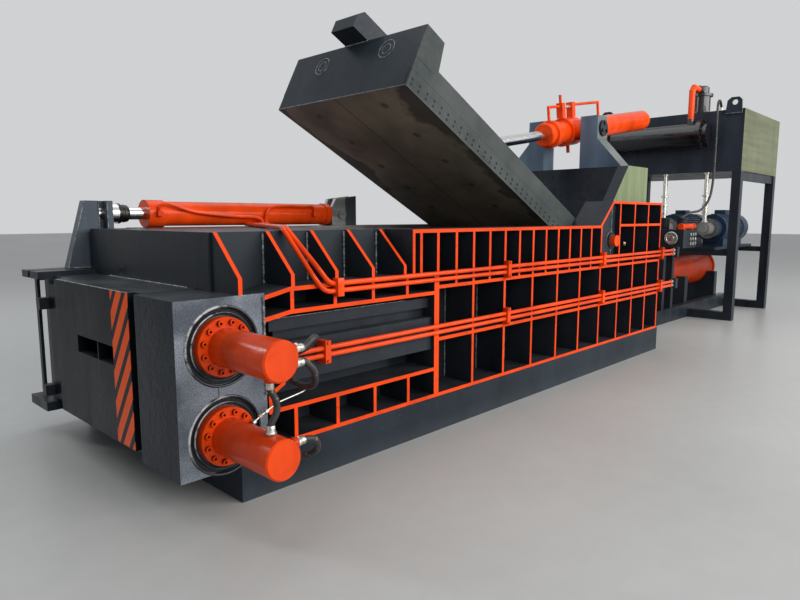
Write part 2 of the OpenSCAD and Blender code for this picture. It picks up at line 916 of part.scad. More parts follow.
module lid_cylinder() {
    bore_r = lid_cyl_r - 26;
    color("#f4562a")
        from_front()
            on_lid_cylinder()
                difference() {
                    union() {
                        rotate([0, 90, 0])
                            rotate_extrude($fn = 64)
                                polygon([[0, -lid_cyl_front - 60],
                                    [lid_cyl_r - 14, -lid_cyl_front - 60],
                                    [lid_cyl_r - 4, -lid_cyl_front - 50],
                                    [lid_cyl_r - 4, -lid_cyl_front + 30],
                                    [lid_cyl_r + 22, -lid_cyl_front + 40],
                                    [lid_cyl_r + 22, -lid_cyl_front + 120],
                                    [lid_cyl_r, -lid_cyl_front + 130],
                                    [lid_cyl_r, lid_cyl_back - 90],
                                    [lid_cyl_r - 16, lid_cyl_back - 35],
                                    [lid_cyl_r - 60, lid_cyl_back],
                                    [0, lid_cyl_back + 8]]);
                        rotate([90, 0, 0])
                            translate([0, 0, -bracket_in + 6])
                                cylinder(h = 2 * bracket_in - 12,
                                    r = 118);
                        rotate([0, 90, 0])
                            translate([0, 0, -135])
                                cylinder(h = 270, r = lid_cyl_r + 30);
                        rotate([90, 0, 0])
                            translate([0, 0, -bracket_in - 208])
                                cylinder(h = 2 * bracket_in + 416,
                                    r = stub_r);
                    }
                    rotate([0, 90, 0])
                        translate([0, 0, -lid_cyl_front - 61])
                            cylinder(h = 162, r = lid_rod_r + clear);
                    rotate([0, 90, 0])
                        translate([0, 0, -lid_cyl_front + 100])
                            cylinder(h = lid_cyl_front + lid_cyl_back - 200,
                                r = bore_r);
                }
}

module lid_cylinder_pipes() {
    r = 17;
    top = lid_cyl_r;
    color("#f4562a")
        from_front()
            on_lid_cylinder() {
                pipe_run([[-lid_cyl_front + 80, 0, top + 22],
                    [-lid_cyl_front + 80, 0, top + 165],
                    [-150, 0, top + 165]], r);
                for (x = [-150, 80]) {
                    box(x, x + 70, -40, 40, top + 30, top + 200);
                }
                rod_x(-80, 80, 0, top + 150, 14);
                pipe_run([[150, 0, top + 170], [800, 0, top + 170],
                    [800, 0, top]], r);
                rod_between([-115, 0, top + 200], [-115, 0, top + 290], r);
                rod_between([0, 0, -top - 110], [0, 0, -top - 30], 20);
            }
}

module lid_rod() {
    tail = -lid_cyl_front + 620;
    color("silver")
        from_front()
            on_lid_cylinder()
                difference() {
                    union() {
                        rotate([0, 90, 0])
                            translate([0, 0, -rod_reach + 100])
                                cylinder(h = rod_reach - 100 + tail,
                                    r = lid_rod_r);
                        rotate([0, 90, 0])
                            translate([0, 0, tail])
                                cylinder(h = 120,
                                    r = lid_cyl_r - 26 - clear);
                        translate([-rod_reach, 50, 0])
                            rotate([90, 0, 0])
                                cylinder(h = 100, r = 118);
                    }
                    translate([-rod_reach, 51, 0])
                        rotate([90, 0, 0])
                            cylinder(h = 102, r = lug_pin_r + 34);
                }
}

// The lid: a flat box with a deeper front block and two hinge arms
module lid_body() {
    nose = 210;
    arm_in = lid_half - 150;
    cells = 4;
    cell = (lid_l - 330) / cells;
    color("#8b8f92")
        from_front()
            on_lid()
                difference() {
                    union() {
                        plate_xz([[-lid_l, -lid_low],
                            [-lid_l, lid_nose_h],
                            [-lid_l + nose, lid_nose_h],
                            [-lid_l + nose + 40, lid_top],
                            [-210, lid_top], [-210, -lid_low]],
                            -lid_half, lid_half);
                        both_sides() {
                            plate_xz([[-260, -lid_low],
                                [-260, lid_top], [-60, 130], [20, 130],
                                [20, -90], [-160, -lid_low]],
                                arm_in, lid_half - 2);
                            rod_y(arm_in, lid_half - 2, 0, 0, 160);
                        }
                    }
                    rod_y(-lid_half - 1, lid_half + 1, 0, 0,
                        hinge_pin_r + clear);
                    both_sides()
                        box(-lid_l - 1, -460, lid_half - 30,
                            lid_half + 1, -lid_low - 1, -lid_low + 140);
                    for (i = [0 : cells - 1]) {
                        box(-lid_l + 60 + i * cell, -lid_l + 30 + (i + 1) * cell,
                            -lid_half + 60, lid_half - 60,
                            -lid_low + 50, lid_top - plate_t);
                    }
                }
}

module lid_spine() {
    color("#343a46")
        from_front()
            on_lid()
                plate_xz([[-lid_l - 170, lid_nose_h],
                    [-lid_l - 170, lid_nose_h + 110],
                    [-lid_l - 120, lid_nose_h + 170],
                    [-lid_l + 330, lid_nose_h + 170],
                    [-lug_u - 260, lid_nose_h + 20],
                    [-lug_u - 260, lid_top],
                    [-lid_l + 252, lid_top],
                    [-lid_l + 210, lid_nose_h]],
                    -spine_w / 2, spine_w / 2);
}

module lid_rod_lugs() {
    color("#343a46")
        from_front()
            on_lid() {
                for (y = [-96, 56]) {
                    difference() {
                        plate_xz([[-lug_u - 255, lid_top],
                            [-lug_u - 80, lug_n + 60],
                            [-lug_u + 80, lug_n + 60],
                            [-lug_u + 300, lid_top]], y, y + 40);
                        rod_y(y - 1, y + 41, -lug_u, lug_n,
                            lug_pin_r + clear);
                    }
                }
                rod_y(-112, 112, -lug_u, lug_n, lug_pin_r);
                rod_y(-126, -96, -lug_u, lug_n, lug_pin_r + 20);
                rod_y(96, 126, -lug_u, lug_n, lug_pin_r + 20);
            }
}

// Shear blades let into the lower edges of the lid
module lid_blades() {
    color("#a9acae")
        from_front()
            on_lid()
                both_sides()
                    box(-lid_l + 2, -462, lid_half - 30, lid_half - 1,
                        -lid_low, -lid_low + 140);
}

// Fixed shear blades on the inner edge of each wall top
module wall_blades() {
    color("#a9acae")
        from_front()
            both_sides()
                box(mouth_x + 5, slope_x0 - 5, inner_y - 8, inner_y,
                    wall_top_z - 120, wall_top_z);
}

module hinge_pins() {
    color("#f4562a")
        from_front()
            both_sides() {
                rod_y(lid_half - 142, half_w + 20, hinge_x, hinge_z,
                    hinge_pin_r);
            }
}

module hinge_bosses() {
    color("#2a2e36")
        from_front()
            both_sides()
                difference() {
                    rod_y(boss_y, boss_y + 20, hinge_x, hinge_z, boss_r);
                    rod_y(boss_y - 1, boss_y + 21, hinge_x, hinge_z,
                        hinge_pin_r + clear);
                }
}

pipe_end_x = skid_l + 330;

module upper_pipe_pair() {
    color("#f4562a")
        from_front()
            for (i = [0, 1]) {
                z = pipes_high_z + i * pipe_pitch;
                x = 700 - i * 90;
                pipe_run([[pipe_end_x, pipe_y, z], [x, pipe_y, z],
                    [x - 150, pipe_y + 2, pipes_high_z + 157],
                    [x - 330, -panel_y - 20, wall_top_z + pipe_r + 4],
                    [x - 330, gate_mid_y - 120,
                        wall_top_z + pipe_r + 4]],
                    pipe_r);
            }
}

module lower_pipe_pair() {
    color("#f4562a")
        from_front()
            for (i = [0, 1]) {
                z = pipes_low_z + i * pipe_pitch;
                pipe_run([[pipe_end_x, pipe_y, z], [330, pipe_y, z]],
                    pipe_r);
            }
}

clamp_x = [rib_x0 - 1010, upper_rib_x(4) + 0.5 * rib_t,
    boss_x + 0.5 * rib_t, rear_rib_x(3) + 0.5 * rib_t];

// Saddle blocks that hold the pipe pairs to the ribs
module pipe_clamps() {
    color("#d9481f")
        from_front()
            for (x = clamp_x) {
                for (z = [pipes_high_z, pipes_low_z]) {
                    if (x > rib_x0 || z == pipes_low_z) {
                        difference() {
                            box(x - 20, x + 20, pipe_y - pipe_r - 12,
                                x < rib_x0 ? -half_w + beam_in : -half_w,
                                z - 45, z + pipe_pitch + 45);
                            for (i = [0, 1]) {
                                rod_x(x - 21, x + 21, pipe_y,
                                    z + i * pipe_pitch, pipe_r + clear);
                            }
                        }
                    }
                }
            }
}

// A small port block on the side of the gate barrel
module port_block(x, angle, lift) {
    translate([x, gate_mid_y, gate_cyl_z])
        rotate([angle, 0, 0])
            translate([-22, -18, gate_cyl_r + lift])
                cube([44, 36, 34]);
}

module gate_pipes() {
    y = gate_mid_y - gate_cyl_r - 27.3;
    z = gate_cyl_z;
    tee_x = gate_cyl_x0 + 970;
    top_z = wall_top_z + 35;
    front_x = gate_cyl_x0 + 40;
    rear_x = gate_cyl_x0 + gate_cyl_l - 225;
    color("#f4562a")
        from_front() {
            box(tee_x - 40, tee_x + 40, y - 16, y + 16,
                wall_top_z, top_z);
            port_block(front_x, 90, 10.3);
            port_block(rear_x, 90, 0.3);
            hose([[tee_x - 20, y, top_z + 0.3],
                [tee_x - 20, y, top_z + 12],
                [tee_x - 40, y, z - 40], [tee_x - 110, y, z - 26],
                [tee_x - 320, y, z - 17], [tee_x - 640, y, z + 14],
                [front_x + 140, y, z + 58], [front_x + 60, y, z + 76],
                [front_x + 10, y, z + 62], [front_x, y, z + 40],
                [front_x, y, z + 18.3]], 3, 26);
            hose([[tee_x + 20, y, top_z + 0.3],
                [tee_x + 20, y, top_z + 12],
                [tee_x + 24, y, z - 20], [tee_x + 44, y, z + 30],
                [tee_x + 100, y, z + 62], [tee_x + 250, y, z + 72],
                [rear_x - 130, y, z + 68], [rear_x - 44, y + 5, z + 74],
                [rear_x - 8, y + 9, z + 56], [rear_x, y + 9, z + 38],
                [rear_x, y + 9, z + 18.3]], 3, 26);
        }
}

// Points of a smooth curve through a route, as Catmull and Rom give it
function smooth_point(p, i, t) =
    let (a = p[max(i - 1, 0)], b = p[i], c = p[i + 1],
        d = p[min(i + 2, len(p) - 1)])
    0.5 * (2 * b + (c - a) * t + (2 * a - 5 * b + 4 * c - d) * t * t
        + (3 * b - a - 3 * c + d) * t * t * t);

function smooth_route(p, steps) = [
    for (i = [0 : len(p) - 2])
        for (k = [0 : steps - 1])
            smooth_point(p, i, k / steps),
    p[len(p) - 1]];

function unit(v) = v / norm(v);

function heading(p, i) =
    unit(p[min(i + 1, len(p) - 1)] - p[max(i - 1, 0)]);

module hose(route, steps, d) {
    p = smooth_route(route, steps);
    n = len(p);
    sides = 8;
    guide = [0.31, 0.17, 0.23];
    rings = [for (i = [0 : n - 1])
        let (h = heading(p, i), u = unit(cross(h, guide)),
            v = cross(h, u))
        for (k = [0 : sides - 1])
            let (a = k * 360 / sides)
            p[i] + d / 2 * (u * cos(a) + v * sin(a))];
    walls = [for (i = [0 : n - 2])
        for (k = [0 : sides - 1])
            let (m = (k + 1) % sides)
            [i * sides + k, (i + 1) * sides + k,
                (i + 1) * sides + m, i * sides + m]];
    start = [for (k = [0 : sides - 1]) k];
    finish = [for (k = [sides - 1 : -1 : 0]) (n - 1) * sides + k];
    polyhedron(points = rings, faces = concat([start], walls, [finish]));
}

port_x = side_x + 115.8;
hose_a = [[port_x, -440, side_high_z - 35], [port_x + 28, -440, 822],
    [port_x + 56, -440, 822], [142, -443, 765], [172, -400, 685],
    [185, -280, 655], [205, -130, 675], [240, -40, 705],
    [272, -21, 712], [300, -21, 712], [329.2, -21, 712]];
hose_b = [[port_x, -440, side_high_z + 35], [port_x + 28, -440, 892],
    [port_x + 56, -440, 892], [135, -441, 925], [185, -400, 915],
    [222, -280, 845], [250, -130, 785], [266, -45, 760],
    [280, -21, 754], [304, -21, 754], [329.2, -21, 754]];
hose_c = [[side_x, -400, side_high_z - side_r - 0.3],
    [side_x, -400, side_high_z - side_r - 22],
    [side_x, -400, side_high_z - side_r - 45], [side_x + 22, -408, 665],
    [side_x + 30, -410, 625], [side_x + 24, -408, 590],
    [side_x, -400, side_low_z + side_r + 50],
    [side_x, -400, side_low_z + side_r + 25],
    [side_x, -400, side_low_z + side_r + 0.3]];

module side_hoses() {
    color("#17181a")
        from_front()
            translate([0, -half_w, 0]) {
                hose(hose_a, 3, hose_d);
                hose(hose_b, 3, hose_d);
                hose(hose_c, 3, hose_d);
            }
}

sub_x1 = tank_x + tank_l;

// The frame behind the skid that carries the main cylinder and tank
module rear_subframe() {
    color("#2f3440")
        from_front() {
            both_sides() {
                box(skid_l + 1, max(sub_x1, main_x1 - 240), 340, 460,
                    0, 200);
                box(tank_x, tank_x + leg_w, 340, tank_w / 2, 0, 120);
                box(sub_x1 - leg_w, sub_x1, 340, tank_w / 2, 0, 120);
            }
            for (x = [skid_l + 940, tank_x, main_x1 - 360]) {
                difference() {
                    box(x, x + leg_w, -400, 400, 0, main_z - 60);
                    rod_x(x - 1, x + leg_w + 1, 0, main_z,
                        main_r + clear);
                }
            }
        }
}

module oil_tank() {
    y1 = tank_w / 2;
    color("#343a46")
        from_front() {
            difference() {
                box(tank_x, sub_x1, -y1, y1, tank_z, tank_z + tank_h);
                box(tank_x + 12, sub_x1 - 12, -y1 + 12, y1 - 12,
                    tank_z + 12, tank_z + tank_h - 12);
            }
            both_sides()
                difference() {
                    plate_yz([[-y1 + 30, tank_z + tank_h - 60],
                        [-y1 + 40, tank_z + tank_h + 120],
                        [-y1 + 80, tank_z + tank_h + 160],
                        [-y1 + 180, tank_z + tank_h + 160],
                        [-y1 + 230, tank_z + tank_h + 120],
                        [-y1 + 250, tank_z + tank_h - 60]],
                        tank_x - 30, tank_x);
                    rod_x(tank_x - 31, tank_x + 1, -y1 + 130,
                        tank_z + tank_h + 90, 38);
                }
        }
}

module tank_stand() {
    y1 = tank_w / 2;
    color("#343a46")
        from_front()
            both_sides() {
                for (x = [tank_x, sub_x1 - leg_w]) {
                    box(x, x + leg_w, y1 - leg_w, y1, 120, tank_z);
                }
                box(tank_x, sub_x1, y1 - 100, y1 - 20, tank_z - 120,
                    tank_z);
            }
}

cooler_x = tank_x - cooler_r - 45;
cooler_z = tank_z + 520;
cooler_y0 = -580;

module oil_cooler() {
    color("#20242c")
        from_front() {
            rod_y(cooler_y0, 800, cooler_x, cooler_z, cooler_r);
            rod_y(cooler_y0 - 30, cooler_y0 + 30, cooler_x, cooler_z,
                cooler_r + 42);
            rod_y(cooler_y0 - 100, cooler_y0 - 30, cooler_x, cooler_z,
                cooler_r - 10);
            rod_y(740, 800, cooler_x, cooler_z, cooler_r + 42);
            rod_between([cooler_x, cooler_y0 + 160, cooler_z],
                [cooler_x, cooler_y0 + 160, cooler_z + cooler_r + 60], 52);
            for (y = [-350, 500]) {
                box(cooler_x, tank_x, y, y + 80, cooler_z - 60,
                    cooler_z + 60);
            }
        }
}

filter_y = cooler_y0 + 160;
filter_x = tank_x + 200;
filter_z = tank_z + tank_h;

module return_filter() {
    color("#20242c")
        from_front() {
            translate([filter_x, filter_y, filter_z])
                rotate_extrude($fn = 48)
                    polygon([[0, 0], [150, 0], [150, 25], [118, 25],
                        [118, 250], [150, 250], [150, 285], [95, 300],
                        [95, 380], [70, 400], [0, 400]]);
            rod_between([filter_x, filter_y, filter_z + 340],
                [filter_x - 160, filter_y, filter_z + 340], 55);
        }
}

module return_pipe() {
    r = 42;
    color("#f4562a")
        from_front()
            pipe_run([[filter_x - 160, filter_y, filter_z + 340],
                [cooler_x + 60, filter_y, filter_z + 340],
                [cooler_x, filter_y, filter_z + 280],
                [cooler_x, filter_y, cooler_z + cooler_r + 60]], r);
}

bench_z = main_z + main_r + 85;
pump_z = bench_z + 310;

// Electric motors with their pumps, on a bench over the main cylinder
module pump_sets() {
    color("#26303c")
        from_front() {
            for (x = [tank_x + 20, sub_x1 - leg_w + 20]) {
                box(x, x + 80, -tank_w / 2 + leg_w + 0.3,
                    tank_w / 2 - leg_w - 0.3, bench_z - 80, bench_z);
            }
            for (y = [-600, 0, 600]) {
                box(tank_x + 10, sub_x1 - 10, y - 190, y + 190,
                    bench_z, bench_z + 40);
                rod_x(tank_x + 420, tank_x + 1500, y, pump_z, 210);
                box(tank_x + 500, tank_x + 1400, y - 150, y + 150,
                    bench_z + 40, pump_z - 100);
                rod_x(tank_x + 240, tank_x + 420, y, pump_z, 150);
                rod_x(tank_x + 20, tank_x + 240, y, pump_z, 95);
                rod_x(tank_x - 20, tank_x + 20, y, pump_z, 60);
            }
        }
}

valve_x = tank_x - 1070;
valve_z = main_z + 420;

module valve_manifold() {
    color("#2a2e36")
        from_front() {
            box(valve_x, valve_x + 480, -720, 300, valve_z, valve_z + 250);
            for (x = [valve_x + 40, valve_x + 360]) {
                box(x, x + 80, -460, -340, 200, valve_z);
                box(x, x + 80, 340, 460, 200, valve_z - 60);
                box(x, x + 80, -460, 460, valve_z - 80, valve_z);
            }
            for (i = [0 : 3]) {
                rod_between([valve_x + 240, -600 + i * 230, valve_z + 250],
                    [valve_x + 240, -600 + i * 230, valve_z + 390], 62);
                rod_between([valve_x + 240, -600 + i * 230, valve_z + 390],
                    [valve_x + 240, -600 + i * 230, valve_z + 410], 78);
            }
            for (z = [pipes_high_z, pipes_low_z]) {
                box(pipe_end_x, pipe_end_x + 60, pipe_y - 40,
                    pipe_y + 40, z - 35, z + pipe_pitch + 35);
            }
        }
}

drain_route = [[8210, -740, 3010.3], [8210, -740, 3045],
    [8205, -740, 3080], [8120, -745, 3140], [8035, -750, 3075],
    [8015, -755, 2800], [8010, -760, 2400], [7990, -760, 2000],
    [7930, -740, 1750], [7800, -680, 1600], [7640, -600, 1560],
    [7510, -530, 1490], [7500, -520, 1400], [7500, -520, 1365],
    [7500, -520, 1330.3]];

module drain_hose() {
    color("#17181a")
        from_front()
            hose(drain_route, 3, hose_d);
}

base_skid();
floor_liner();
near_wall_panel();
far_wall_panel();
near_rib_grid();
far_rib_grid();
near_front_bank();
far_front_bank();
near_gussets();
upper_box();
head_block();
front_wall();
head_floor();
head_roof();
gate_keeper();
gate_slab();
gate_bracket();
gate_cylinder();
gate_rod();
gate_cylinder_post();
upper_side_cylinder();
lower_side_cylinder();
side_flange_bolts();
side_rods();
side_platen();
main_ram();
main_rod();
main_cylinder();
rear_wall();
ram_roof();
rear_box();
rear_cheeks();
near_trunnion_bracket();
far_trunnion_bracket();
trunnion_caps();
lid_cylinder();
lid_cylinder_pipes();
lid_rod();
lid_body();
lid_spine();
lid_rod_lugs();
lid_blades();
wall_blades();
hinge_pins();
hinge_bosses();
upper_pipe_pair();
lower_pipe_pair();
pipe_clamps();
gate_pipes();
side_hoses();
rear_subframe();
oil_tank();
tank_stand();
oil_cooler();
return_filter();
return_pipe();
pump_sets();
valve_manifold();
drain_hose();
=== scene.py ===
import math

import bmesh
import bpy
from mathutils import Matrix, Vector


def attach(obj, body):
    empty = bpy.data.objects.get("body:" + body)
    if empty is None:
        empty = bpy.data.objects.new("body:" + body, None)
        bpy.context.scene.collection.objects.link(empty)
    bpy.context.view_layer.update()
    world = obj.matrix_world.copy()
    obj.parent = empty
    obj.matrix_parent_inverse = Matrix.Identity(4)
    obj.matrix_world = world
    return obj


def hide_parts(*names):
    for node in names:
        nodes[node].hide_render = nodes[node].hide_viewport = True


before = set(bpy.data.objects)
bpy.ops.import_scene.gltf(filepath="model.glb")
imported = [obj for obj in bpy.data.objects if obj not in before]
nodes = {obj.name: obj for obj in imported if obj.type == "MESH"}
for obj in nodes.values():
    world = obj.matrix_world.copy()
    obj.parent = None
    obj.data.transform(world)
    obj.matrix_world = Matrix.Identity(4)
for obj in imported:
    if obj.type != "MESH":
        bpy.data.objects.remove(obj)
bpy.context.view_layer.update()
scene = bpy.context.scene
scene.view_settings.view_transform = "Standard"

# Camera: at standing height before the press head's near corner, looking
# along the machine and a little down.
STANDING = (-4.444, -3.847, 1.5)
YAW, PITCH = math.radians(43.7), math.radians(7.5)
eye = bpy.data.cameras.new("eye")
eye.lens = 28.35
eye.sensor_width = 36.0
eye.clip_end = 200.0
camera = bpy.data.objects.new("camera", eye)
scene.collection.objects.link(camera)
scene.camera = camera
ahead = Vector((math.cos(YAW) * math.cos(PITCH),
                math.sin(YAW) * math.cos(PITCH), -math.sin(PITCH)))
aside = Vector((math.sin(YAW), -math.cos(YAW), 0.0))
upward = aside.cross(ahead)
turn = Matrix((aside, upward, -ahead)).transposed()
camera.matrix_world = Matrix.Translation(STANDING) @ turn.to_4x4()

# Hoses: black rubber over steel braid, each run held at both ends in a
# crimped, zinc plated ferrule. Three loop at the side cylinders' caps, and a
# long one hangs from the tank down to the valves.
HOSE_RADIUS = 0.017
SKID_FRONT = -2.73
SIDE_X, SIDE_LEVELS = -85, (857, 395)
BLOCK_FACE = -1060


class Wire:
    """One value in a finish, which can be added, scaled and compared."""

    def __init__(self, finish, socket):
        self.finish, self.socket = finish, socket

    def sum(self, operation, *values):
        return self.finish.node("ShaderNodeMath", {"operation": operation},
                                dict(enumerate(values)))

    def __add__(self, other):
        return self.sum("ADD", self, other)

    def __radd__(self, other):
        return self.sum("ADD", other, self)

    def __sub__(self, other):
        return self.sum("SUBTRACT", self, other)

    def __rsub__(self, other):
        return self.sum("SUBTRACT", other, self)

    def __mul__(self, other):
        return self.sum("MULTIPLY", self, other)

    def __rmul__(self, other):
        return self.sum("MULTIPLY", other, self)

    def __mod__(self, other):
        return self.sum("FLOORED_MODULO", self, other)

    def __abs__(self):
        return self.sum("ABSOLUTE", self)

    def __lt__(self, other):
        return self.sum("LESS_THAN", self, other)

    def __gt__(self, other):
        return self.sum("GREATER_THAN", self, other)

    def __or__(self, other):
        return self.sum("MAXIMUM", self, other)

    def __and__(self, other):
        return self.sum("MINIMUM", self, other)


class Finish:
    """A material whose nodes are written as sums."""

    def __init__(self, name):
        self.material = bpy.data.materials.new(name)
        self.material.use_nodes = True
        self.tree = self.material.node_tree
        self.shader = self.tree.nodes["Principled BSDF"]
        self.place = self.node("ShaderNodeTexCoord", out="Object")

    def node(self, kind, settings=None, sockets=None, out=0):
        made = self.tree.nodes.new(kind)
        for key, value in (settings or {}).items():
            setattr(made, key, value)
        for key, value in (sockets or {}).items():
            self.join(value, made.inputs[key])
        return Wire(self, made.outputs[out])

    def join(self, value, socket):
        if isinstance(value, Wire):
            self.tree.links.new(value.socket, socket)
        elif isinstance(value, (tuple, list)) and socket.type == "RGBA":
            socket.default_value = (*value[:3], 1.0)
        else:
            socket.default_value = value

    def axis(self, letter, place=None):
        return self.node("ShaderNodeSeparateXYZ", None,
                         {0: place or self.place}, out="XYZ".index(letter))

    def facing(self, letter):
        normal = self.node("ShaderNodeNewGeometry", out="Normal")
        return self.axis(letter, normal)

    def grain(self, scale, detail=3.0, stretch=(1, 1, 1)):
        mapped = self.node("ShaderNodeMapping", None,
                           {"Vector": self.place, "Scale": stretch})
        return self.node("ShaderNodeTexNoise", None,
                         {"Vector": mapped, "Scale": scale,
                          "Detail": detail, "Roughness": 0.55})

    def ramp(self, value, low, high):
        return self.node("ShaderNodeMapRange", {"clamp": True},
                         {"Value": value, "From Min": low, "From Max": high})

    def mix(self, mask, under, over):
        return self.node("ShaderNodeMix", {"data_type": "RGBA"},
                         {0: mask, 6: under, 7: over}, out=2)

    def bump(self, height, distance):
        return self.node("ShaderNodeBump", None,
                         {"Height": height, "Distance": distance})

    def fixed(self, **sockets):
        for key, value in sockets.items():
            self.shader.inputs[key.replace("_", " ")].default_value = value
        return self

    def wear(self, **sockets):
        for key, value in sockets.items():
            self.join(value, self.shader.inputs[key.replace("_", " ")])
        return self

    def colour(self):
        return Wire(self, self.shader.inputs["Base Color"].links[0]
                    .from_socket)


def spot(x, y, z):
    """A place in metres, from millimetres behind the skid's front edge."""
    return Vector((x / 1000 + SKID_FRONT, y / 1000, z / 1000))


def towards(place, direction):
    """A turn and a move that set a shape's Z along a direction."""
    return (Matrix.Translation(place)
            @ Vector(direction).to_track_quat("Z", "Y").to_matrix().to_4x4())


def taken(work):
    """The mesh of a bmesh, merged and with its faces outwards."""
    bmesh.ops.remove_doubles(work, verts=work.verts, dist=1e-6)
    bmesh.ops.dissolve_degenerate(work, edges=work.edges, dist=1e-7)
    bmesh.ops.recalc_face_normals(work, faces=work.faces)
    mesh = bpy.data.meshes.new("shape")
    work.to_mesh(mesh)
    work.free()
    return mesh


def turned(profile, steps=24):
    """A lathe-turned part from radii and heights in millimetres."""
    work = bmesh.new()
    line = [work.verts.new((r / 1000, 0.0, h / 1000)) for r, h in profile]
    edges = [work.edges.new(pair) for pair in zip(line, line[1:])]
    bmesh.ops.spin(work, geom=line + edges, cent=(0, 0, 0), axis=(0, 0, 1),
                   angle=math.tau, steps=steps, use_merge=True)
    return taken(work)


def hexagon(across, height, chamfer=1.2):
    """A hexagon bar end or nut, in millimetres, with eased corners."""
    work = bmesh.new()
    radius = across / 2000 / math.cos(math.pi / 6)
    bmesh.ops.create_cone(work, cap_ends=True, segments=6, radius1=radius,
                          radius2=radius, depth=height / 1000)
    bmesh.ops.translate(work, verts=work.verts,
                        vec=(0, 0, height / 2000))
    bmesh.ops.bevel(work, geom=work.edges, offset=chamfer / 1000,
                    segments=1, affect="EDGES", profile=0.5, material=-1)
    return taken(work)


def piece(name, shapes, finish, body="frame", smooth=40):
    """One object made of shapes, each set in its place."""
    work = bmesh.new()
    for shape, place in shapes:
        first = len(work.verts)
        work.from_mesh(shape)
        work.verts.ensure_lookup_table()
        if place is not None:
            bmesh.ops.transform(work, matrix=place,
                                verts=work.verts[first:])
    mesh = bpy.data.meshes.new(name)
    work.to_mesh(mesh)
    work.free()
    mesh.shade_smooth()
    mesh.set_sharp_from_angle(angle=math.radians(smooth))
    mesh.materials.append(finish.material)
    made = bpy.data.objects.new(name, mesh)
    scene.collection.objects.link(made)
    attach(made, body)
    return made


rubber = Finish("hose_rubber")
wrap = rubber.grain(170.0, 2.0)
scuff = rubber.ramp(rubber.grain(34.0, 4.0), 0.60, 0.66)
rubber.wear(
    Base_Color=rubber.mix(
        scuff * 0.55,
        rubber.mix(rubber.ramp(rubber.grain(9.0), 0.4, 0.7),
                   (0.012, 0.012, 0.013), (0.030, 0.029, 0.028)),
        (0.26, 0.25, 0.22)),
    Roughness=rubber.ramp(wrap, 0.3, 0.7) * 0.18 + 0.42,
    Normal=rubber.bump(wrap, 0.0012))

zinc = Finish("zinc_plate")
spangle = zinc.grain(55.0, 3.0)
zinc.wear(
    Base_Color=zinc.mix(zinc.ramp(spangle, 0.35, 0.65),
                        (0.42, 0.41, 0.37), (0.68, 0.67, 0.62)),
    Metallic=1.0 - zinc.ramp(zinc.grain(20.0, 4.0), 0.62, 0.70) * 0.6,
    Roughness=zinc.ramp(spangle, 0.3, 0.7) * 0.2 + 0.26,
    Normal=zinc.bump(spangle, 0.0006))

ferrule = turned([(0, 0), (18, 0), (21, 2), (21, 9), (19, 11), (21, 13),
                  (21, 20), (19, 22), (21, 24), (21, 42), (18, 46),
                  (0, 46)], 20)
union_nut = hexagon(46, 16)


def hung(name, route, steps=6):
    """A hose on a smooth curve through its points, with both ferrules."""
    track = []
    last = len(route) - 1
    for i in range(last):
        a, b = route[max(i - 1, 0)], route[i]
        c, d = route[i + 1], route[min(i + 2, last)]
        for k in range(steps):
            t = k / steps
            track.append(0.5 * (2 * b + (c - a) * t
                                + (2 * a - 5 * b + 4 * c - d) * t * t
                                + (3 * b - a - 3 * c + d) * t ** 3))
    track.append(route[-1])
    line = bpy.data.curves.new(name, "CURVE")
    line.dimensions = "3D"
    line.bevel_depth = HOSE_RADIUS
    line.bevel_resolution = 5
    line.use_fill_caps = True
    spline = line.splines.new("POLY")
    spline.points.add(len(track) - 1)
    for point, place in zip(spline.points, track):
        point.co = (*place, 1.0)
    spline.use_smooth = True
    line.materials.append(rubber.material)
    hose = bpy.data.objects.new(name, line)
    scene.collection.objects.link(hose)
    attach(hose, "frame")
    ends = [(track[0], track[1] - track[0]),
            (track[-1], track[-2] - track[-1])]
    caps = piece(name + "_ferrules",
                 [(shape, towards(place, way)) for place, way in ends
                  for shape in (ferrule, union_nut)], zinc)
    length = sum((b - a).length for a, b in zip(track, track[1:]))
    return hose


upper_loop = hung("upper_loop_hose", [
    spot(x, y + BLOCK_FACE, z) for x, y, z in (
        (30.8, -440, 822), (58.8, -440, 822), (86.8, -440, 822),
        (142, -443, 765), (172, -400, 685), (185, -280, 655),
        (205, -130, 675), (240, -40, 705), (272, -21, 712),
        (300, -21, 712), (329.2, -21, 712))])
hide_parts("side_hoses")
hung("high_loop_hose", [spot(x, y + BLOCK_FACE, z) for x, y, z in (
    (30.8, -440, 892), (58.8, -440, 892), (86.8, -440, 892),
    (135, -441, 925), (185, -400, 915), (222, -280, 845), (250, -130, 785),
    (266, -45, 760), (280, -21, 754), (304, -21, 754), (329.2, -21, 754))])
hung("linking_hose", [spot(x, y + BLOCK_FACE, z) for x, y, z in (
    (SIDE_X, -400, 757.7), (SIDE_X, -400, 736), (SIDE_X, -400, 713),
    (-63, -408, 665), (-55, -410, 625), (-61, -408, 590),
    (SIDE_X, -400, 544), (SIDE_X, -400, 519), (SIDE_X, -400, 494.3))])
drain = hung("tank_hose", [spot(*place) for place in (
    (8210, -740, 3010.3), (8210, -740, 3045), (8205, -740, 3080),
    (8120, -745, 3140), (8035, -750, 3075), (8015, -755, 2800),
    (8010, -760, 2400), (7990, -760, 2000), (7930, -740, 1750),
    (7800, -680, 1600), (7640, -600, 1560), (7510, -530, 1490),
    (7500, -520, 1400), (7500, -520, 1365), (7500, -520, 1330.3))])
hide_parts("drain_hose")

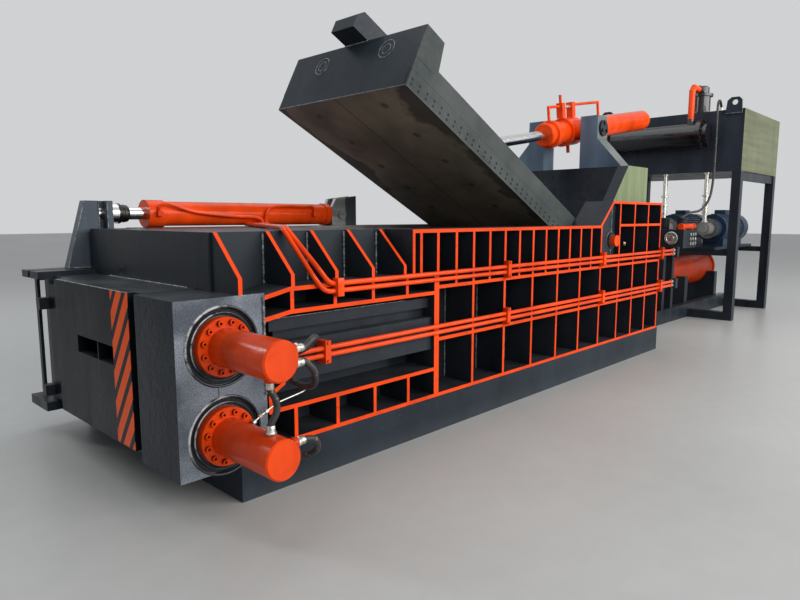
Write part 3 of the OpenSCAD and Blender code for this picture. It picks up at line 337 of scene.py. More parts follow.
# Floor and light: a pale plain floor, an even pale surround and soft lamps.
# The strongest lamp stands on the side of the cylinders, as tall windows do,
# and a narrow one ahead draws a bright line along them.
floor_finish = Finish("pale_floor")
cloud = floor_finish.grain(0.35, 4.0)
speck = floor_finish.grain(6.0, 5.0)
floor_finish.wear(
    Base_Color=floor_finish.mix(floor_finish.ramp(cloud * 0.7 + speck * 0.3,
                                                  0.35, 0.65),
                                (0.43, 0.44, 0.435), (0.49, 0.50, 0.49)),
    Roughness=floor_finish.ramp(cloud, 0.2, 0.8) * 0.12 + 0.30)

ground = bmesh.new()
bmesh.ops.create_grid(ground, x_segments=8, y_segments=8, size=60.0)
floor_mesh = bpy.data.meshes.new("floor")
ground.to_mesh(floor_mesh)
ground.free()
floor = bpy.data.objects.new("floor", floor_mesh)
floor_mesh.materials.append(floor_finish.material)
scene.collection.objects.link(floor)

world = bpy.data.worlds.new("surround")
scene.world = world
world.use_nodes = True
sky = world.node_tree
fill = sky.nodes["Background"]
fill.inputs["Color"].default_value = (0.90, 0.93, 0.97, 1.0)
fill.inputs["Strength"].default_value = 0.24
seen = sky.nodes.new("ShaderNodeBackground")
seen.inputs["Color"].default_value = (0.63, 0.64, 0.65, 1.0)
seen.inputs["Strength"].default_value = 1.0
rays = sky.nodes.new("ShaderNodeLightPath")
pick = sky.nodes.new("ShaderNodeMixShader")
glossy_too = sky.nodes.new("ShaderNodeMath")
through_too = sky.nodes.new("ShaderNodeMath")
for maximum in (glossy_too, through_too):
    maximum.operation = "MAXIMUM"
for start, end in (
        (rays.outputs["Is Camera Ray"], glossy_too.inputs[0]),
        (rays.outputs["Is Glossy Ray"], glossy_too.inputs[1]),
        (glossy_too.outputs[0], through_too.inputs[0]),
        (rays.outputs["Is Transmission Ray"], through_too.inputs[1]),
        (through_too.outputs[0], pick.inputs[0]),
        (fill.outputs[0], pick.inputs[1]),
        (seen.outputs[0], pick.inputs[2]),
        (pick.outputs[0], sky.nodes["World Output"].inputs[0])):
    sky.links.new(start, end)


def lamp(name, place, target, size, power, colour):
    """A soft lamp that looks from its place at a target."""
    light = bpy.data.lights.new(name, "AREA")
    light.shape = "RECTANGLE"
    light.size, light.size_y = size
    light.energy = power
    light.color = colour
    held = bpy.data.objects.new(name, light)
    toward = Vector(target) - Vector(place)
    held.matrix_world = (Matrix.Translation(place)
                         @ toward.to_track_quat("-Z", "Y")
                         .to_matrix().to_4x4())
    scene.collection.objects.link(held)


lamp("windows", (3.0, -12.0, 5.5), (0.5, 0.0, 0.8),
     size=(20.0, 7.0), power=2500, colour=(1.0, 0.985, 0.95))
lamp("roof_light", (0.0, 2.0, 9.0), (0.5, 0.0, 0.0),
     size=(12.0, 6.0), power=330, colour=(0.94, 0.97, 1.0))
lamp("far_windows", (-7.0, 9.0, 6.4), (-2.8, -1.3, 0.8),
     size=(1.1, 4.6), power=250, colour=(0.97, 0.99, 1.0))

# Boxes, head, stands and far wall: welded plate in a charcoal enamel, rolled
# on thick, so the film is uneven and glossy, with dust where it lies flat.
CHARCOAL = (0.020, 0.0255, 0.033)
SETTLED_DUST = (0.105, 0.103, 0.096)


def enamel(name, colour, lumps=1.0, gloss=0.27, dust=0.5, chip=0.5):
    """Thick machine enamel with orange peel, roller marks and dust."""
    paint = Finish(name)
    patches = paint.grain(1.1, 5.0)
    streaks = paint.grain(5.0, 3.0, (1.0, 1.0, 0.22))
    peel = paint.grain(95.0, 2.0)
    rolled = paint.grain(24.0, 3.0)
    settled = (paint.ramp(paint.facing("Z"), 0.75, 0.98)
               * paint.ramp(patches * 0.6 + streaks * 0.4, 0.38, 0.62) * dust)
    tone = paint.mix(paint.ramp(patches * 0.55 + streaks * 0.45, 0.36, 0.66),
                     tuple(c * 0.66 for c in colour),
                     tuple(min(1.0, c * 1.34 + 0.001) for c in colour))
    chips = paint.ramp(paint.grain(31.0, 5.0), 0.66, 0.70) * chip
    tone = paint.mix(chips, tone, tuple(c * 1.6 + 0.020 for c in colour))
    tone = paint.mix(settled, tone, SETTLED_DUST)
    paint.wear(
        Base_Color=tone,
        Roughness=(paint.ramp(streaks, 0.3, 0.7) * 0.18 + gloss
                   + settled * 0.35),
        Coat_Weight=paint.ramp(rolled, 0.4, 0.6) * 0.04,
        Normal=paint.bump(peel * 0.3 + rolled * 0.7, 0.0016 * lumps))
    return paint.fixed(Coat_Roughness=0.14, Specular_IOR_Level=0.11)


def dress(finish, *names):
    """Give CAD nodes a finish of their own."""
    for name in names:
        mesh = nodes[name].data
        mesh.materials.clear()
        mesh.materials.append(finish.material)


charcoal = enamel("charcoal_enamel", CHARCOAL, dust=0.2)
dress(charcoal, "upper_box", "head_floor", "head_roof", "gate_keeper",
      "gate_slab", "lid_spine", "lid_rod_lugs", "tank_stand",
      "rear_subframe", "trunnion_caps", "hinge_bosses", "valve_manifold",
      "far_wall_panel")

# Rear box: plate in the same enamel where scrap slides on it, painted several
# times darker as painted shade, and mottled.
hopper = enamel("hopper_enamel", (0.0040, 0.0068, 0.0110), lumps=1.2,
                gloss=0.42, dust=0.1)
bruise = hopper.ramp(hopper.grain(2.6, 6.0), 0.40, 0.66)
hopper.wear(Base_Color=hopper.mix(bruise * 0.6, hopper.colour(),
                                  (0.011, 0.016, 0.024)))
hopper.fixed(Specular_IOR_Level=0.05)
dress(hopper, "rear_wall", "ram_roof", "rear_box")

# Skid: the deep base plate under the walls, dull with trodden dust and
# scraped along its lower edge.
skid = enamel("skid_enamel", (0.017, 0.024, 0.033), lumps=0.8, gloss=0.38)
low = skid.ramp(skid.axis("Z") + skid.grain(7.0, 4.0) * 0.10, 0.16, 0.03)
skid.wear(Base_Color=skid.mix(low * 0.40, skid.colour(),
                              (0.056, 0.064, 0.074)))
dress(skid, "base_skid")

# Wall panel behind the ribs: the same enamel, dull, and painted darker as
# painted shade for the deep bays between the ribs; on the open stretch ahead
# of them, out of that shade, it is painted a little lighter.
shaded = enamel("bay_shade_enamel", (0.013, 0.016, 0.020), lumps=0.6, gloss=0.42,
                dust=0.2, chip=0.15)
# Ahead of the ribs the painted shade gives way to a lighter colour.
unshaded_stretch = shaded.ramp(shaded.axis("X"), -1.36, -1.40)
shaded.wear(Base_Color=shaded.mix(unshaded_stretch, shaded.colour(),
                                  (0.024, 0.030, 0.038)))
dress(shaded, "near_wall_panel")

# Rib grids and front banks: plate on edge, welded to the wall plates. Only
# the outer edges are picked out in orange, and the sides stay charcoal.
ORANGE = (0.78, 0.060, 0.005)
OUTER_EDGE = 1.0598
ribbed = enamel("edged_enamel", (0.019, 0.023, 0.030), lumps=0.8, gloss=0.34,
                dust=0.15, chip=0.2)
wave = ribbed.grain(60.0, 2.0) * 0.004
outer = abs(ribbed.axis("Y")) + wave > OUTER_EDGE
varied_tone = ribbed.mix(ribbed.ramp(ribbed.grain(4.0, 4.0), 0.35, 0.66),
                     tuple(c * 0.80 for c in ORANGE),
                     tuple(min(1.0, c * 1.12) for c in ORANGE))
grime = ribbed.ramp(ribbed.grain(26.0, 5.0), 0.60, 0.72) * 0.45
varied_tone = ribbed.mix(grime, varied_tone, (0.19, 0.030, 0.010))
ribbed.wear(Base_Color=ribbed.mix(outer, ribbed.colour(), varied_tone))
dress(ribbed, "near_rib_grid", "far_rib_grid", "near_front_bank",
      "far_front_bank")

# Gussets: slanted plates welded between the wall's top and the heads of the
# ribs, with only their sloping edge in orange.
slanted = enamel("gusset_enamel", CHARCOAL)
slanted.wear(Base_Color=slanted.mix(abs(slanted.facing("X")) < 0.5,
                                    slanted.colour(), ORANGE))
dress(slanted, "near_gussets")

# Cylinders, pipes and clamps: turned and drawn steel in orange gloss, with
# runs and thin places where the undercoat shows.
orange = enamel("orange_enamel", ORANGE, lumps=0.35, gloss=0.09, dust=0.12,
                chip=0.0)
thin = orange.ramp(orange.grain(14.0, 5.0, (0.5, 1.0, 1.0)), 0.56, 0.72)
orange.wear(Base_Color=orange.mix(thin * 0.28, orange.colour(),
                                  (0.40, 0.028, 0.005)))
orange.fixed(Specular_IOR_Level=0.15)
dress(orange, "gate_cylinder", "upper_side_cylinder", "lower_side_cylinder",
      "lid_cylinder", "lid_cylinder_pipes", "hinge_pins",
      "lower_pipe_pair", "pipe_clamps", "gate_pipes", "return_pipe")

# Main cylinder: the long cylinder behind the box, in the same paint darkened
# to under half as painted shade, for the shade it lies in behind the box.
shaded_orange = enamel("shaded_orange_enamel", tuple(c * 0.42 for c in ORANGE), lumps=0.7,
               gloss=0.30, chip=0.1)
dress(shaded_orange, "main_cylinder")

# Upper pipes: two drawn steel tubes, cold bent. They leave the clamps along
# the ribs, climb beside a gusset and cross the roof to the gate's tee block.
PIPE_RADIUS = 0.015
PIPES_Y = -1081
UPPER_LEVELS, LOWER_LEVELS = (1078, 1120), (712, 754)
ROOF_LEVEL = 1440


def bent(route, radius=0.055, steps=6):
    """The route with an arc of straight chords at each of its corners."""
    track = [route[0]]
    for before, corner, after in zip(route, route[1:], route[2:]):
        back = (before - corner).normalized()
        on = (after - corner).normalized()
        reach = min(radius, (before - corner).length * 0.45,
                    (after - corner).length * 0.45)
        first, last = corner + back * reach, corner + on * reach
        for k in range(steps + 1):
            t = k / steps
            track.append(first.lerp(corner, t).lerp(corner.lerp(last, t), t))
    track.append(route[-1])
    return track


def tubes(name, runs, radius, finish, body="frame"):
    """Rigid tubes along their tracks, as one mesh."""
    line = bpy.data.curves.new(name, "CURVE")
    line.dimensions = "3D"
    line.bevel_depth = radius
    line.bevel_resolution = 4
    line.use_fill_caps = True
    for run_track in runs:
        spline = line.splines.new("POLY")
        spline.points.add(len(run_track) - 1)
        for point, place in zip(spline.points, run_track):
            point.co = (*place, 1.0)
    held = bpy.data.objects.new(name, line)
    shape = bpy.data.meshes.new_from_object(held)
    bpy.data.objects.remove(held)
    bpy.data.curves.remove(line)
    return piece(name, [(shape, None)], finish, body, 50)


def block(x0, x1, y0, y1, z0, z1, ease=2.5):
    """A machined block between two corners, in millimetres, with its edges
    eased."""
    work = bmesh.new()
    bmesh.ops.create_cube(work, size=1.0)
    low, high = spot(x0, y0, z0), spot(x1, y1, z1)
    bmesh.ops.scale(work, verts=work.verts, vec=high - low)
    bmesh.ops.translate(work, verts=work.verts, vec=(low + high) / 2)
    bmesh.ops.bevel(work, geom=work.edges, offset=ease / 1000, segments=2,
                    affect="EDGES", profile=0.5, material=-1)
    return taken(work)


pipe_runs = []
for level, up_x, top_x, turn_x, end_y in zip(
        UPPER_LEVELS, (560, 598), (464, 492), (1310, 1262), (783, 818)):
    pipe_runs.append(bent([spot(*place) for place in (
        (5789.7, PIPES_Y, level), (up_x, PIPES_Y, level),
        (up_x - 70, -1074, level + 88), (top_x, -838, 1425),
        (top_x + 24, -790, ROOF_LEVEL), (turn_x, end_y - 48, ROOF_LEVEL),
        (turn_x + 4, end_y, ROOF_LEVEL), (1399.7, end_y, ROOF_LEVEL))]))
upper_pipes = tubes("upper_pipes", pipe_runs, PIPE_RADIUS, orange)
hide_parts("upper_pipe_pair")
piece("roof_tee_block", [(block(1400, 1480, 794.3, 838, 1420.3, 1455), None),
                         (block(636, 684, -1112, -1061, 1046, 1152), None)],
      orange, "frame", 30)

# Piston rods: ground and hard chromed steel, with faint lathe marks round
# them and a film of oil.
chrome = Finish("chromed_rod")
lathe = chrome.grain(9.0, 3.0, (1.0, 12.0, 12.0))
oil = chrome.ramp(chrome.grain(5.0, 4.0), 0.55, 0.70)
chrome.wear(
    Base_Color=chrome.mix(oil * 0.3,
                          chrome.mix(chrome.ramp(lathe, 0.3, 0.7),
                                     (0.70, 0.70, 0.69), (0.88, 0.88, 0.87)),
                          (0.20, 0.19, 0.17)),
    Roughness=chrome.ramp(lathe, 0.3, 0.7) * 0.10 + 0.09 + oil * 0.12,
    Normal=chrome.bump(lathe, 0.0004))
chrome.fixed(Metallic=1.0)
dress(chrome, "gate_rod", "side_rods", "main_rod", "lid_rod")

# Wear floor, rams and fixed blades: bare rolled steel, browned, and scuffed
# along the way that the scrap is pushed.
bare = Finish("worn_steel")
stain = bare.grain(2.2, 5.0)
drag = bare.grain(7.0, 4.0, (0.12, 1.0, 1.0))
rust = bare.ramp(stain, 0.46, 0.70)
bare.wear(
    Base_Color=bare.mix(rust, bare.mix(bare.ramp(drag, 0.3, 0.7),
                                       (0.20, 0.195, 0.19),
                                       (0.34, 0.335, 0.33)),
                        (0.095, 0.062, 0.042)),
    Metallic=0.85 - rust * 0.65,
    Roughness=bare.ramp(drag, 0.3, 0.7) * 0.2 + 0.36 + rust * 0.2,
    Normal=bare.bump(drag * 0.6 + stain * 0.4, 0.002))
dress(bare, "floor_liner", "wall_blades", "side_platen", "main_ram")

# Front wall: the plate with the two slots. Beside the gap to the block it
# carries a band of slanting orange and dark stripes, masked and sprayed.
STRIPE_PITCH, DARK_PART, STRIPE_SLOPE = 0.167, 0.063, 1.43
striped = enamel("striped_enamel", (0.005, 0.008, 0.012), gloss=0.24)
band = ((striped.axis("X") < -3.068) & (striped.axis("Y") < -0.338)
        & (striped.axis("Z") > 0.25))
slope = striped.axis("Z") + striped.axis("Y") * STRIPE_SLOPE
slope = slope + (striped.grain(9.0, 3.0) - 0.5) * 0.006
stripe = band & (slope % STRIPE_PITCH > DARK_PART)
ground_coat = striped.mix(band * 0.7, striped.colour(),
                          (0.010, 0.011, 0.013))
worn_stripe = striped.mix(striped.ramp(striped.grain(20.0, 5.0), 0.5, 0.75)
                          * 0.25, (1.0, 0.110, 0.008),
                          (0.48, 0.045, 0.008))
striped.wear(Base_Color=striped.mix(stripe, ground_coat, worn_stripe))
striped.fixed(Specular_IOR_Level=0.07)
dress(striped, "front_wall")

# Head block: the thick block that holds the side cylinders, in a heavy
# hammered coat. Its near face, turned to the windows, is painted pale as
# painted light. Round each seat it has a dark ring of painted shadow round the
# flange, and a ring flecked with spatter, whose limits are the squares of
# their radii.
FLECKED_FROM, FLECKED_TO = 0.0396, 0.088
SHADOW_RING_FROM, SHADOW_RING_TO = 0.0235, 0.0385
hammered = enamel("hammered_enamel", (0.009, 0.014, 0.022), lumps=2.6,
                  gloss=0.24, dust=0.3)
block_x, block_z = hammered.axis("X"), hammered.axis("Z")
near_ring, shadow_ring = 0, 0
for level in SIDE_LEVELS:
    seat = spot(SIDE_X, BLOCK_FACE, level)
    dx, dz = block_x - seat.x, block_z - seat.z
    reach = dx * dx + dz * dz
    ring = (hammered.ramp(reach, FLECKED_TO, 0.046)
            * (reach > FLECKED_FROM))
    near_ring = ring | near_ring
    shadow_ring = ((reach > SHADOW_RING_FROM) & (reach < SHADOW_RING_TO)) | shadow_ring
flecks = hammered.ramp(hammered.grain(125.0, 4.0), 0.58, 0.66) * near_ring
# Faces turned to -Y, towards the windows, are painted pale: painted light.
lit_near_face = hammered.facing("Y") < -0.7
stipple = hammered.ramp(hammered.grain(150.0, 3.0), 0.42, 0.62)
painted_light_face = hammered.mix(stipple * 0.7, (0.130, 0.155, 0.190),
                         (0.330, 0.365, 0.415))
painted_light_face = hammered.mix(hammered.ramp(hammered.grain(3.0, 5.0), 0.42, 0.62)
                         * 0.75, painted_light_face, (0.030, 0.038, 0.052))
coat = hammered.mix(lit_near_face, hammered.colour(), painted_light_face)
coat = hammered.mix(flecks * 0.40, coat, (0.17, 0.19, 0.21))
# The dark ring is painted shadow, on the near face only.
hammered.wear(Base_Color=hammered.mix(shadow_ring * lit_near_face * 0.9, coat,
                                      (0.006, 0.008, 0.011)))
dress(hammered, "head_block")

# Rear cheeks, tank and trunnion brackets: the broad sheet sides towards the
# windows are painted pale green-grey, with drawn-out streaks, as painted light
# and painted reflection of the windows; the brackets' outer sides get a bluer
# painted light.
WINDOW_LIT_TINT = (0.192, 0.232, 0.128)


def lit_on_one_side(name, sign, streak, lit_colour=WINDOW_LIT_TINT, coat=CHARCOAL):
    """Machine enamel, with the faces to one side painted pale as painted
    light.
    """
    paint = enamel(name, coat, lumps=0.8)
    side = paint.facing("Y")
    # Faces turned to the given side get the painted light, streaked and
    # patchy.
    lit_side = side * sign > 0.35
    varied_tone = paint.ramp(paint.grain(3.0, 5.0, streak), 0.34, 0.66)
    sheen_patches = paint.ramp(paint.grain(1.2, 4.0), 0.48, 0.72) * 0.45
    painted_light = paint.mix(varied_tone, tuple(c * 0.80 for c in lit_colour),
                     tuple(c * 1.14 for c in lit_colour))
    painted_light = paint.mix(sheen_patches, painted_light, tuple(c * 0.55 for c in lit_colour))
    paint.wear(Base_Color=paint.mix(lit_side, paint.colour(), painted_light))
    return paint


dress(lit_on_one_side("cheek_painted_light", -1.0, (6.0, 1.0, 0.3)), "rear_cheeks")
dress(lit_on_one_side("tank_painted_light", -1.0, (0.25, 1.0, 5.0),
                  (0.130, 0.143, 0.081), (0.025, 0.033, 0.047)), "oil_tank")
for side, sign in (("near", -1.0), ("far", 1.0)):
    dress(lit_on_one_side(side + "_bracket_painted_light", sign, (1.0, 2.0, 2.0),
                      (0.145, 0.165, 0.160), (0.115, 0.168, 0.238)),
          side + "_trunnion_bracket")

# Lid: a hollow welded leaf with a blunt nose. Its front is glossy charcoal,
# its flanks grey-green, and its underside a greasy brown black with plug
# welds. Two lines of bolt holes hold the shear blades along both edges.
OPEN = math.radians(26.8)
HINGE_X, HINGE_Z = 4290, 1268
PLUG_PITCH, HOLE_PITCH = 0.405, 0.0885
PLUG_EDGE, HOLE_EDGE = 0.0011, 0.000135
SEAM_Y, FLANK_Y = 0.015, 0.7475
UNDERSIDE, LOWEST = -0.1975, -0.1985
lid_frame = (Matrix.Translation(spot(HINGE_X, 0, HINGE_Z))
             @ Matrix.Rotation(OPEN, 4, "Y"))
leaf = enamel("lid_enamel", (0.018, 0.026, 0.035), lumps=1.1, gloss=0.24,
              dust=0.6)
flat = leaf.node("ShaderNodeMapping", {"vector_type": "TEXTURE"},
                 {"Vector": leaf.place, "Location": lid_frame.translation,
                  "Rotation": (0.0, OPEN, 0.0)})
run, wide, deep = (leaf.axis(letter, flat) for letter in "XYZ")
across = abs(wide)
below = deep < UNDERSIDE
flank = (across > FLANK_Y) & (deep > LOWEST)
smoke = leaf.grain(1.7, 5.0)
blot = leaf.grain(5.0, 5.0)
greasy = leaf.mix(leaf.ramp(smoke, 0.35, 0.68), (0.120, 0.108, 0.088),
                  (0.290, 0.250, 0.190))
soaked = leaf.ramp(across + (smoke - 0.5) * 0.9 + (blot - 0.5) * 0.25,
                   0.64, 0.70)
greasy = leaf.mix(soaked * 0.85, greasy, (0.055, 0.052, 0.048))
from_seam = abs(wide - SEAM_Y)
scratched = (leaf.ramp(leaf.grain(30.0, 5.0, (0.25, 1.0, 1.0)), 0.60, 0.66)
             * leaf.ramp(from_seam, 0.10, 0.01))
greasy = leaf.mix(scratched * 0.6, greasy, (0.24, 0.22, 0.19))
greasy = leaf.mix(from_seam < 0.0035, greasy, (0.008, 0.008, 0.008))
du = (run + 2.9585) % PLUG_PITCH - PLUG_PITCH / 2
dv = across - 0.385
plug = du * du + dv * dv
rim = leaf.ramp(abs(plug - PLUG_EDGE), 0.0005, 0.0001)
greasy = leaf.mix(leaf.ramp(plug, 0.0016, 0.0008) * 0.6, greasy,
                  (0.030, 0.028, 0.025))
greasy = leaf.mix(rim * 0.35, greasy, (0.20, 0.18, 0.16))
sheet = leaf.mix(leaf.ramp(leaf.grain(2.4, 5.0) + run * 0.06, 0.22, 0.60),
                 (0.027, 0.035, 0.037), (0.066, 0.078, 0.073))
groove_line = (abs(deep - 0.035) < 0.003) & (run < -2.72)
sheet = leaf.mix(groove_line, sheet, (0.008, 0.009, 0.010))
# Bolt holes: near-black discs, painted shade for the depth of each hole.
dh = (run + 2.93125) % HOLE_PITCH - HOLE_PITCH / 2
shaded_hole = 0
for row in (0.125, 0.166):
    dr = deep + row
    shaded_hole = (dh * dh + dr * dr < HOLE_EDGE) | shaded_hole
shaded_hole = shaded_hole & (run < -0.48) & flank
sheet = leaf.mix(shaded_hole, sheet, (0.0035, 0.0035, 0.004))
rubbed = leaf.ramp(deep, -0.1955, LOWEST) * (0.4 + leaf.grain(40.0) * 0.6)
sheet = leaf.mix(rubbed * 0.8, sheet, (0.30, 0.30, 0.28))
tone = leaf.mix(below, leaf.colour(), greasy)
leaf.wear(Base_Color=leaf.mix(flank, tone, sheet),
          Roughness=0.27 + below * 0.22 + flank * 0.14
          + leaf.ramp(blot, 0.3, 0.7) * 0.12)
dress(leaf, "lid_body", "lid_blades")

# Gate bracket and cylinder post: light steel plates, bright where they were
# ground before welding. The bracket has a thin grey-blue wash of primer, and
# the post is painted dark behind the cylinder's eye.
washed = enamel("washed_steel", (0.066, 0.084, 0.106), lumps=0.9, gloss=0.34,
                dust=0.3, chip=0.8)
dress(washed, "gate_bracket")
plain = Finish("ground_plate")
mill = plain.grain(16.0, 4.0, (0.15, 1.0, 1.0))
scale = plain.ramp(plain.grain(4.0, 5.0), 0.5, 0.68)
milled = plain.mix(scale * 0.7, plain.mix(plain.ramp(mill, 0.3, 0.7),
                                          (0.24, 0.245, 0.25),
                                          (0.42, 0.425, 0.42)),
                   (0.085, 0.080, 0.075))
behind_eye = plain.axis("X") > -0.315
plain.wear(
    Base_Color=plain.mix(behind_eye, milled, (0.040, 0.047, 0.055)),
    Metallic=(0.7 - scale * 0.4) * (1.0 - behind_eye),
    Roughness=plain.ramp(mill, 0.3, 0.7) * 0.18 + 0.34,
    Normal=plain.bump(mill, 0.0012))
dress(plain, "gate_cylinder_post")

# Cooler, filter and pump sets: bought-in parts, the first two in gloss black.
# The motors are dark blue, the pumps ahead of them bare cast grey, and the
# bench under both charcoal.
black = enamel("gloss_black", (0.008, 0.009, 0.011), lumps=0.35, gloss=0.12,
               dust=0.25, chip=0.1)
black.fixed(Specular_IOR_Level=0.55)
dress(black, "oil_cooler", "return_filter")
motor = enamel("motor_enamel", (0.018, 0.034, 0.066), lumps=0.5, gloss=0.30,
               dust=0.4, chip=0.3)
cast = motor.ramp(motor.axis("X"), 5.672, 5.660)
bench = motor.axis("Z") < 1.061
motor.wear(Base_Color=motor.mix(
    bench, motor.mix(cast, motor.colour(), (0.20, 0.20, 0.195)),
    (0.018, 0.023, 0.030)))
dress(motor, "pump_sets")

# Motors: cooling fins along each frame, a fan cowl with a ringed grille, and
# a terminal box on top.
PUMP_ROWS = (-600, 0, 600)
MOTOR_LEVEL = 1330
FINS = 32
fin = bmesh.new()
bmesh.ops.create_cube(fin, size=1.0)
bmesh.ops.scale(fin, verts=fin.verts, vec=(0.005, 0.022, 0.74))
bmesh.ops.bevel(fin, geom=fin.edges, offset=0.001, segments=1,
                affect="EDGES", profile=0.5, material=-1)
bmesh.ops.translate(fin, verts=fin.verts, vec=(0.0, 0.214, 0.37))
fin_shape = taken(fin)
cowl = turned([(200, 0), (222, 4), (222, 250), (214, 268), (190, 276),
               (150, 276), (146, 270), (110, 270), (106, 276), (60, 276),
               (56, 270), (0, 270)], 40)
motor_parts = []
for y in PUMP_ROWS:
    shaft = towards(spot(8640, y, MOTOR_LEVEL), (1, 0, 0))
    for i in range(FINS):
        a = i * math.tau / FINS
        if math.cos(a) > -0.72:
            motor_parts.append((fin_shape,
                                shaft @ Matrix.Rotation(a, 4, "Z")))
    motor_parts.append((cowl, towards(spot(9390, y, MOTOR_LEVEL),
                                      (1, 0, 0))))
    motor_parts.append((block(8900, 9120, y - 80, y + 80, 1500, 1610, 6),
                        None))
piece("motor_fins", motor_parts, motor, "frame", 30)

# Flange screws: twelve socket head screws hold each side cylinder's flange.
# They are painted over, and their sockets and the sides of their heads are
# painted dark as painted shade.
SCREW_CIRCLE = 127.5
screw = bmesh.new()
bmesh.ops.create_cone(screw, cap_ends=True, segments=18, radius1=0.015,
                      radius2=0.015, depth=0.018)
bmesh.ops.bevel(screw, geom=[e for e in screw.edges
                             if all(v.co.z > 0.008 for v in e.verts)],
                offset=0.0016, segments=1, affect="EDGES", profile=0.5,
                material=-1)
top = max(screw.faces, key=lambda f: f.calc_center_median().z
          if f.normal.z > 0.9 else -1)
bmesh.ops.inset_region(screw, faces=[top], thickness=0.0055)
sunk = bmesh.ops.extrude_face_region(screw, geom=[top])
bmesh.ops.translate(screw, vec=(0, 0, -0.009),
                    verts=[v for v in sunk["geom"]
                           if isinstance(v, bmesh.types.BMVert)])
bmesh.ops.delete(screw, geom=[top], context="FACES_ONLY")
bmesh.ops.translate(screw, verts=screw.verts, vec=(0, 0, 0.009))
screw_shape = taken(screw)
painted = enamel("screw_enamel", ORANGE, lumps=0.5, gloss=0.24, dust=0.1,
                 chip=0.0)
# Socket floors and head sides get a dark colour: painted shade.
unshaded_top = painted.ramp(painted.axis("Y"), -1.1035, -1.1050)
painted.wear(Base_Color=painted.mix(unshaded_top, (0.030, 0.010, 0.006),
                                    painted.colour()))
heads = []
for level in SIDE_LEVELS:
    for i in range(12):
        a = math.radians((i + 0.5) * 30)
        heads.append((screw_shape, towards(
            spot(SIDE_X + SCREW_CIRCLE * math.cos(a), -1092,
                 level + SCREW_CIRCLE * math.sin(a)), (0, -1, 0))))
screws = piece("flange_screws", heads, painted, "frame", 30)
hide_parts("side_flange_bolts")

# Seat rings: a thick bead round each side cylinder's seat and a thin one
# inside it, in gloss enamel with a patchy painted highlight on their upper
# edges.
seat_bead = enamel("seat_bead_enamel", (0.010, 0.013, 0.018), lumps=1.4,
                   gloss=0.16, dust=0.0)
low_seat = spot(SIDE_X, BLOCK_FACE, SIDE_LEVELS[1])
bead_x = seat_bead.axis("X") - low_seat.x
bead_z = seat_bead.axis("Z") - low_seat.z
bead_z = bead_z - (bead_z > 0.235) * ((SIDE_LEVELS[0] - SIDE_LEVELS[1])
                                      / 1000)
# Painted highlight, lightest on the upper, forward side of each ring.
painted_highlight = seat_bead.ramp(bead_z * 0.75 - bead_x, 0.07, 0.20)
patchy = seat_bead.ramp(seat_bead.grain(26.0, 4.0), 0.36, 0.56)
seat_bead.wear(Base_Color=seat_bead.mix(painted_highlight * patchy * 0.85,
                                        seat_bead.colour(),
                                        (0.46, 0.48, 0.50)))
seat_bead.fixed(Specular_IOR_Level=0.5)


def ring_bead(radius, width=9.0):
    """A half-round bead on a circle, in millimetres."""
    return turned([(radius + width / 2 * math.cos(k * math.pi / 4),
                    width / 2 * math.sin(k * math.pi / 4))
                   for k in range(9)], 72)


piece("seat_rings", [
    (ring_bead(radius, width),
     towards(spot(SIDE_X, BLOCK_FACE, level), (0, 1, 0)))
    for level in SIDE_LEVELS for radius, width in ((203, 15), (172, 8))],
    seat_bead, "frame", 60)

# Welds: rippled beads where the plates of the frame, the lid and the gate's
# bracket meet, painted over but rubbed bright on their crowns.
weld = Finish("weld_bead")
crown = weld.ramp(weld.grain(34.0, 5.0), 0.38, 0.60)
weld.wear(
    Base_Color=weld.mix(crown, (0.040, 0.047, 0.056), (0.21, 0.225, 0.24)),
    Metallic=crown * 0.30,
    Roughness=0.42 - crown * 0.12,
    Normal=weld.bump(weld.grain(120.0, 3.0), 0.0015))


def seam(start, end, width):
    """A rippled bead between two places, half sunk into the plates."""
    length = (end - start).length
    work = bmesh.new()
    bmesh.ops.create_cone(work, cap_ends=True, segments=8,
                          radius1=width / 2000, radius2=width / 2000,
                          depth=length)
    bmesh.ops.translate(work, verts=work.verts, vec=(0, 0, length / 2))
    steps = max(2, int(length / 0.011))
    bmesh.ops.subdivide_edges(
        work, cuts=steps, use_grid_fill=True,
        edges=[e for e in work.edges
               if abs(e.verts[0].co.z - e.verts[1].co.z) > length / 2])
    for vert in work.verts:
        k = round(vert.co.z / length * (steps + 1))
        swell = 1 + 0.26 * math.sin(k * 2.4) + 0.16 * math.sin(k * 5.3 + 1)
        vert.co.x *= swell
        vert.co.y *= swell
    return taken(work), towards(start, end - start)


def seams(*runs):
    """Seams from runs of a start, an end and a width in millimetres."""
    return [seam(spot(*start), spot(*end), width)
            for start, end, width in runs]


RIB_PITCH = 201
CHEEK_Y = -1012
beads = seams(*[((x - 5, -806, 1124), (x - 5, -806, 1412), 15)
                for x in (345, 660, 954, 1240)])
beads += seams(*[((x - 5, -804, low), (x - 5, -804, high), 11)
                 for x in range(1570, 3581, 2 * RIB_PITCH)
                 for low, high in ((252, 650), (700, 1030))])
beads += seams(
    ((160, -1062, 880), (160, -1062, 1085), 17),
    ((164, -1062, 560), (164, -1062, 760), 17),
    ((-118, -1061, 588), (-112, -1061, 662), 8),
    ((0, -560, 1108), (0, 500, 1108), 9),
    ((HINGE_X, CHEEK_Y, 1352), (HINGE_X, CHEEK_Y, 1622), 10),
    ((HINGE_X, CHEEK_Y, 1050), (HINGE_X, CHEEK_Y, 1184), 10),
    ((232, -1001, 949), (1310, -1001, 949), 6),
    ((-338, -560, 1107), (-338, 480, 1107), 6))
beads.append((ring_bead(88, 8), towards(
    spot(HINGE_X, CHEEK_Y + 1, HINGE_Z), (0, 1, 0))))
beads += seams(*[((8118, y, 2950), (8118, y + 225, 2950), 10)
                 for y in (-1050, 820)])
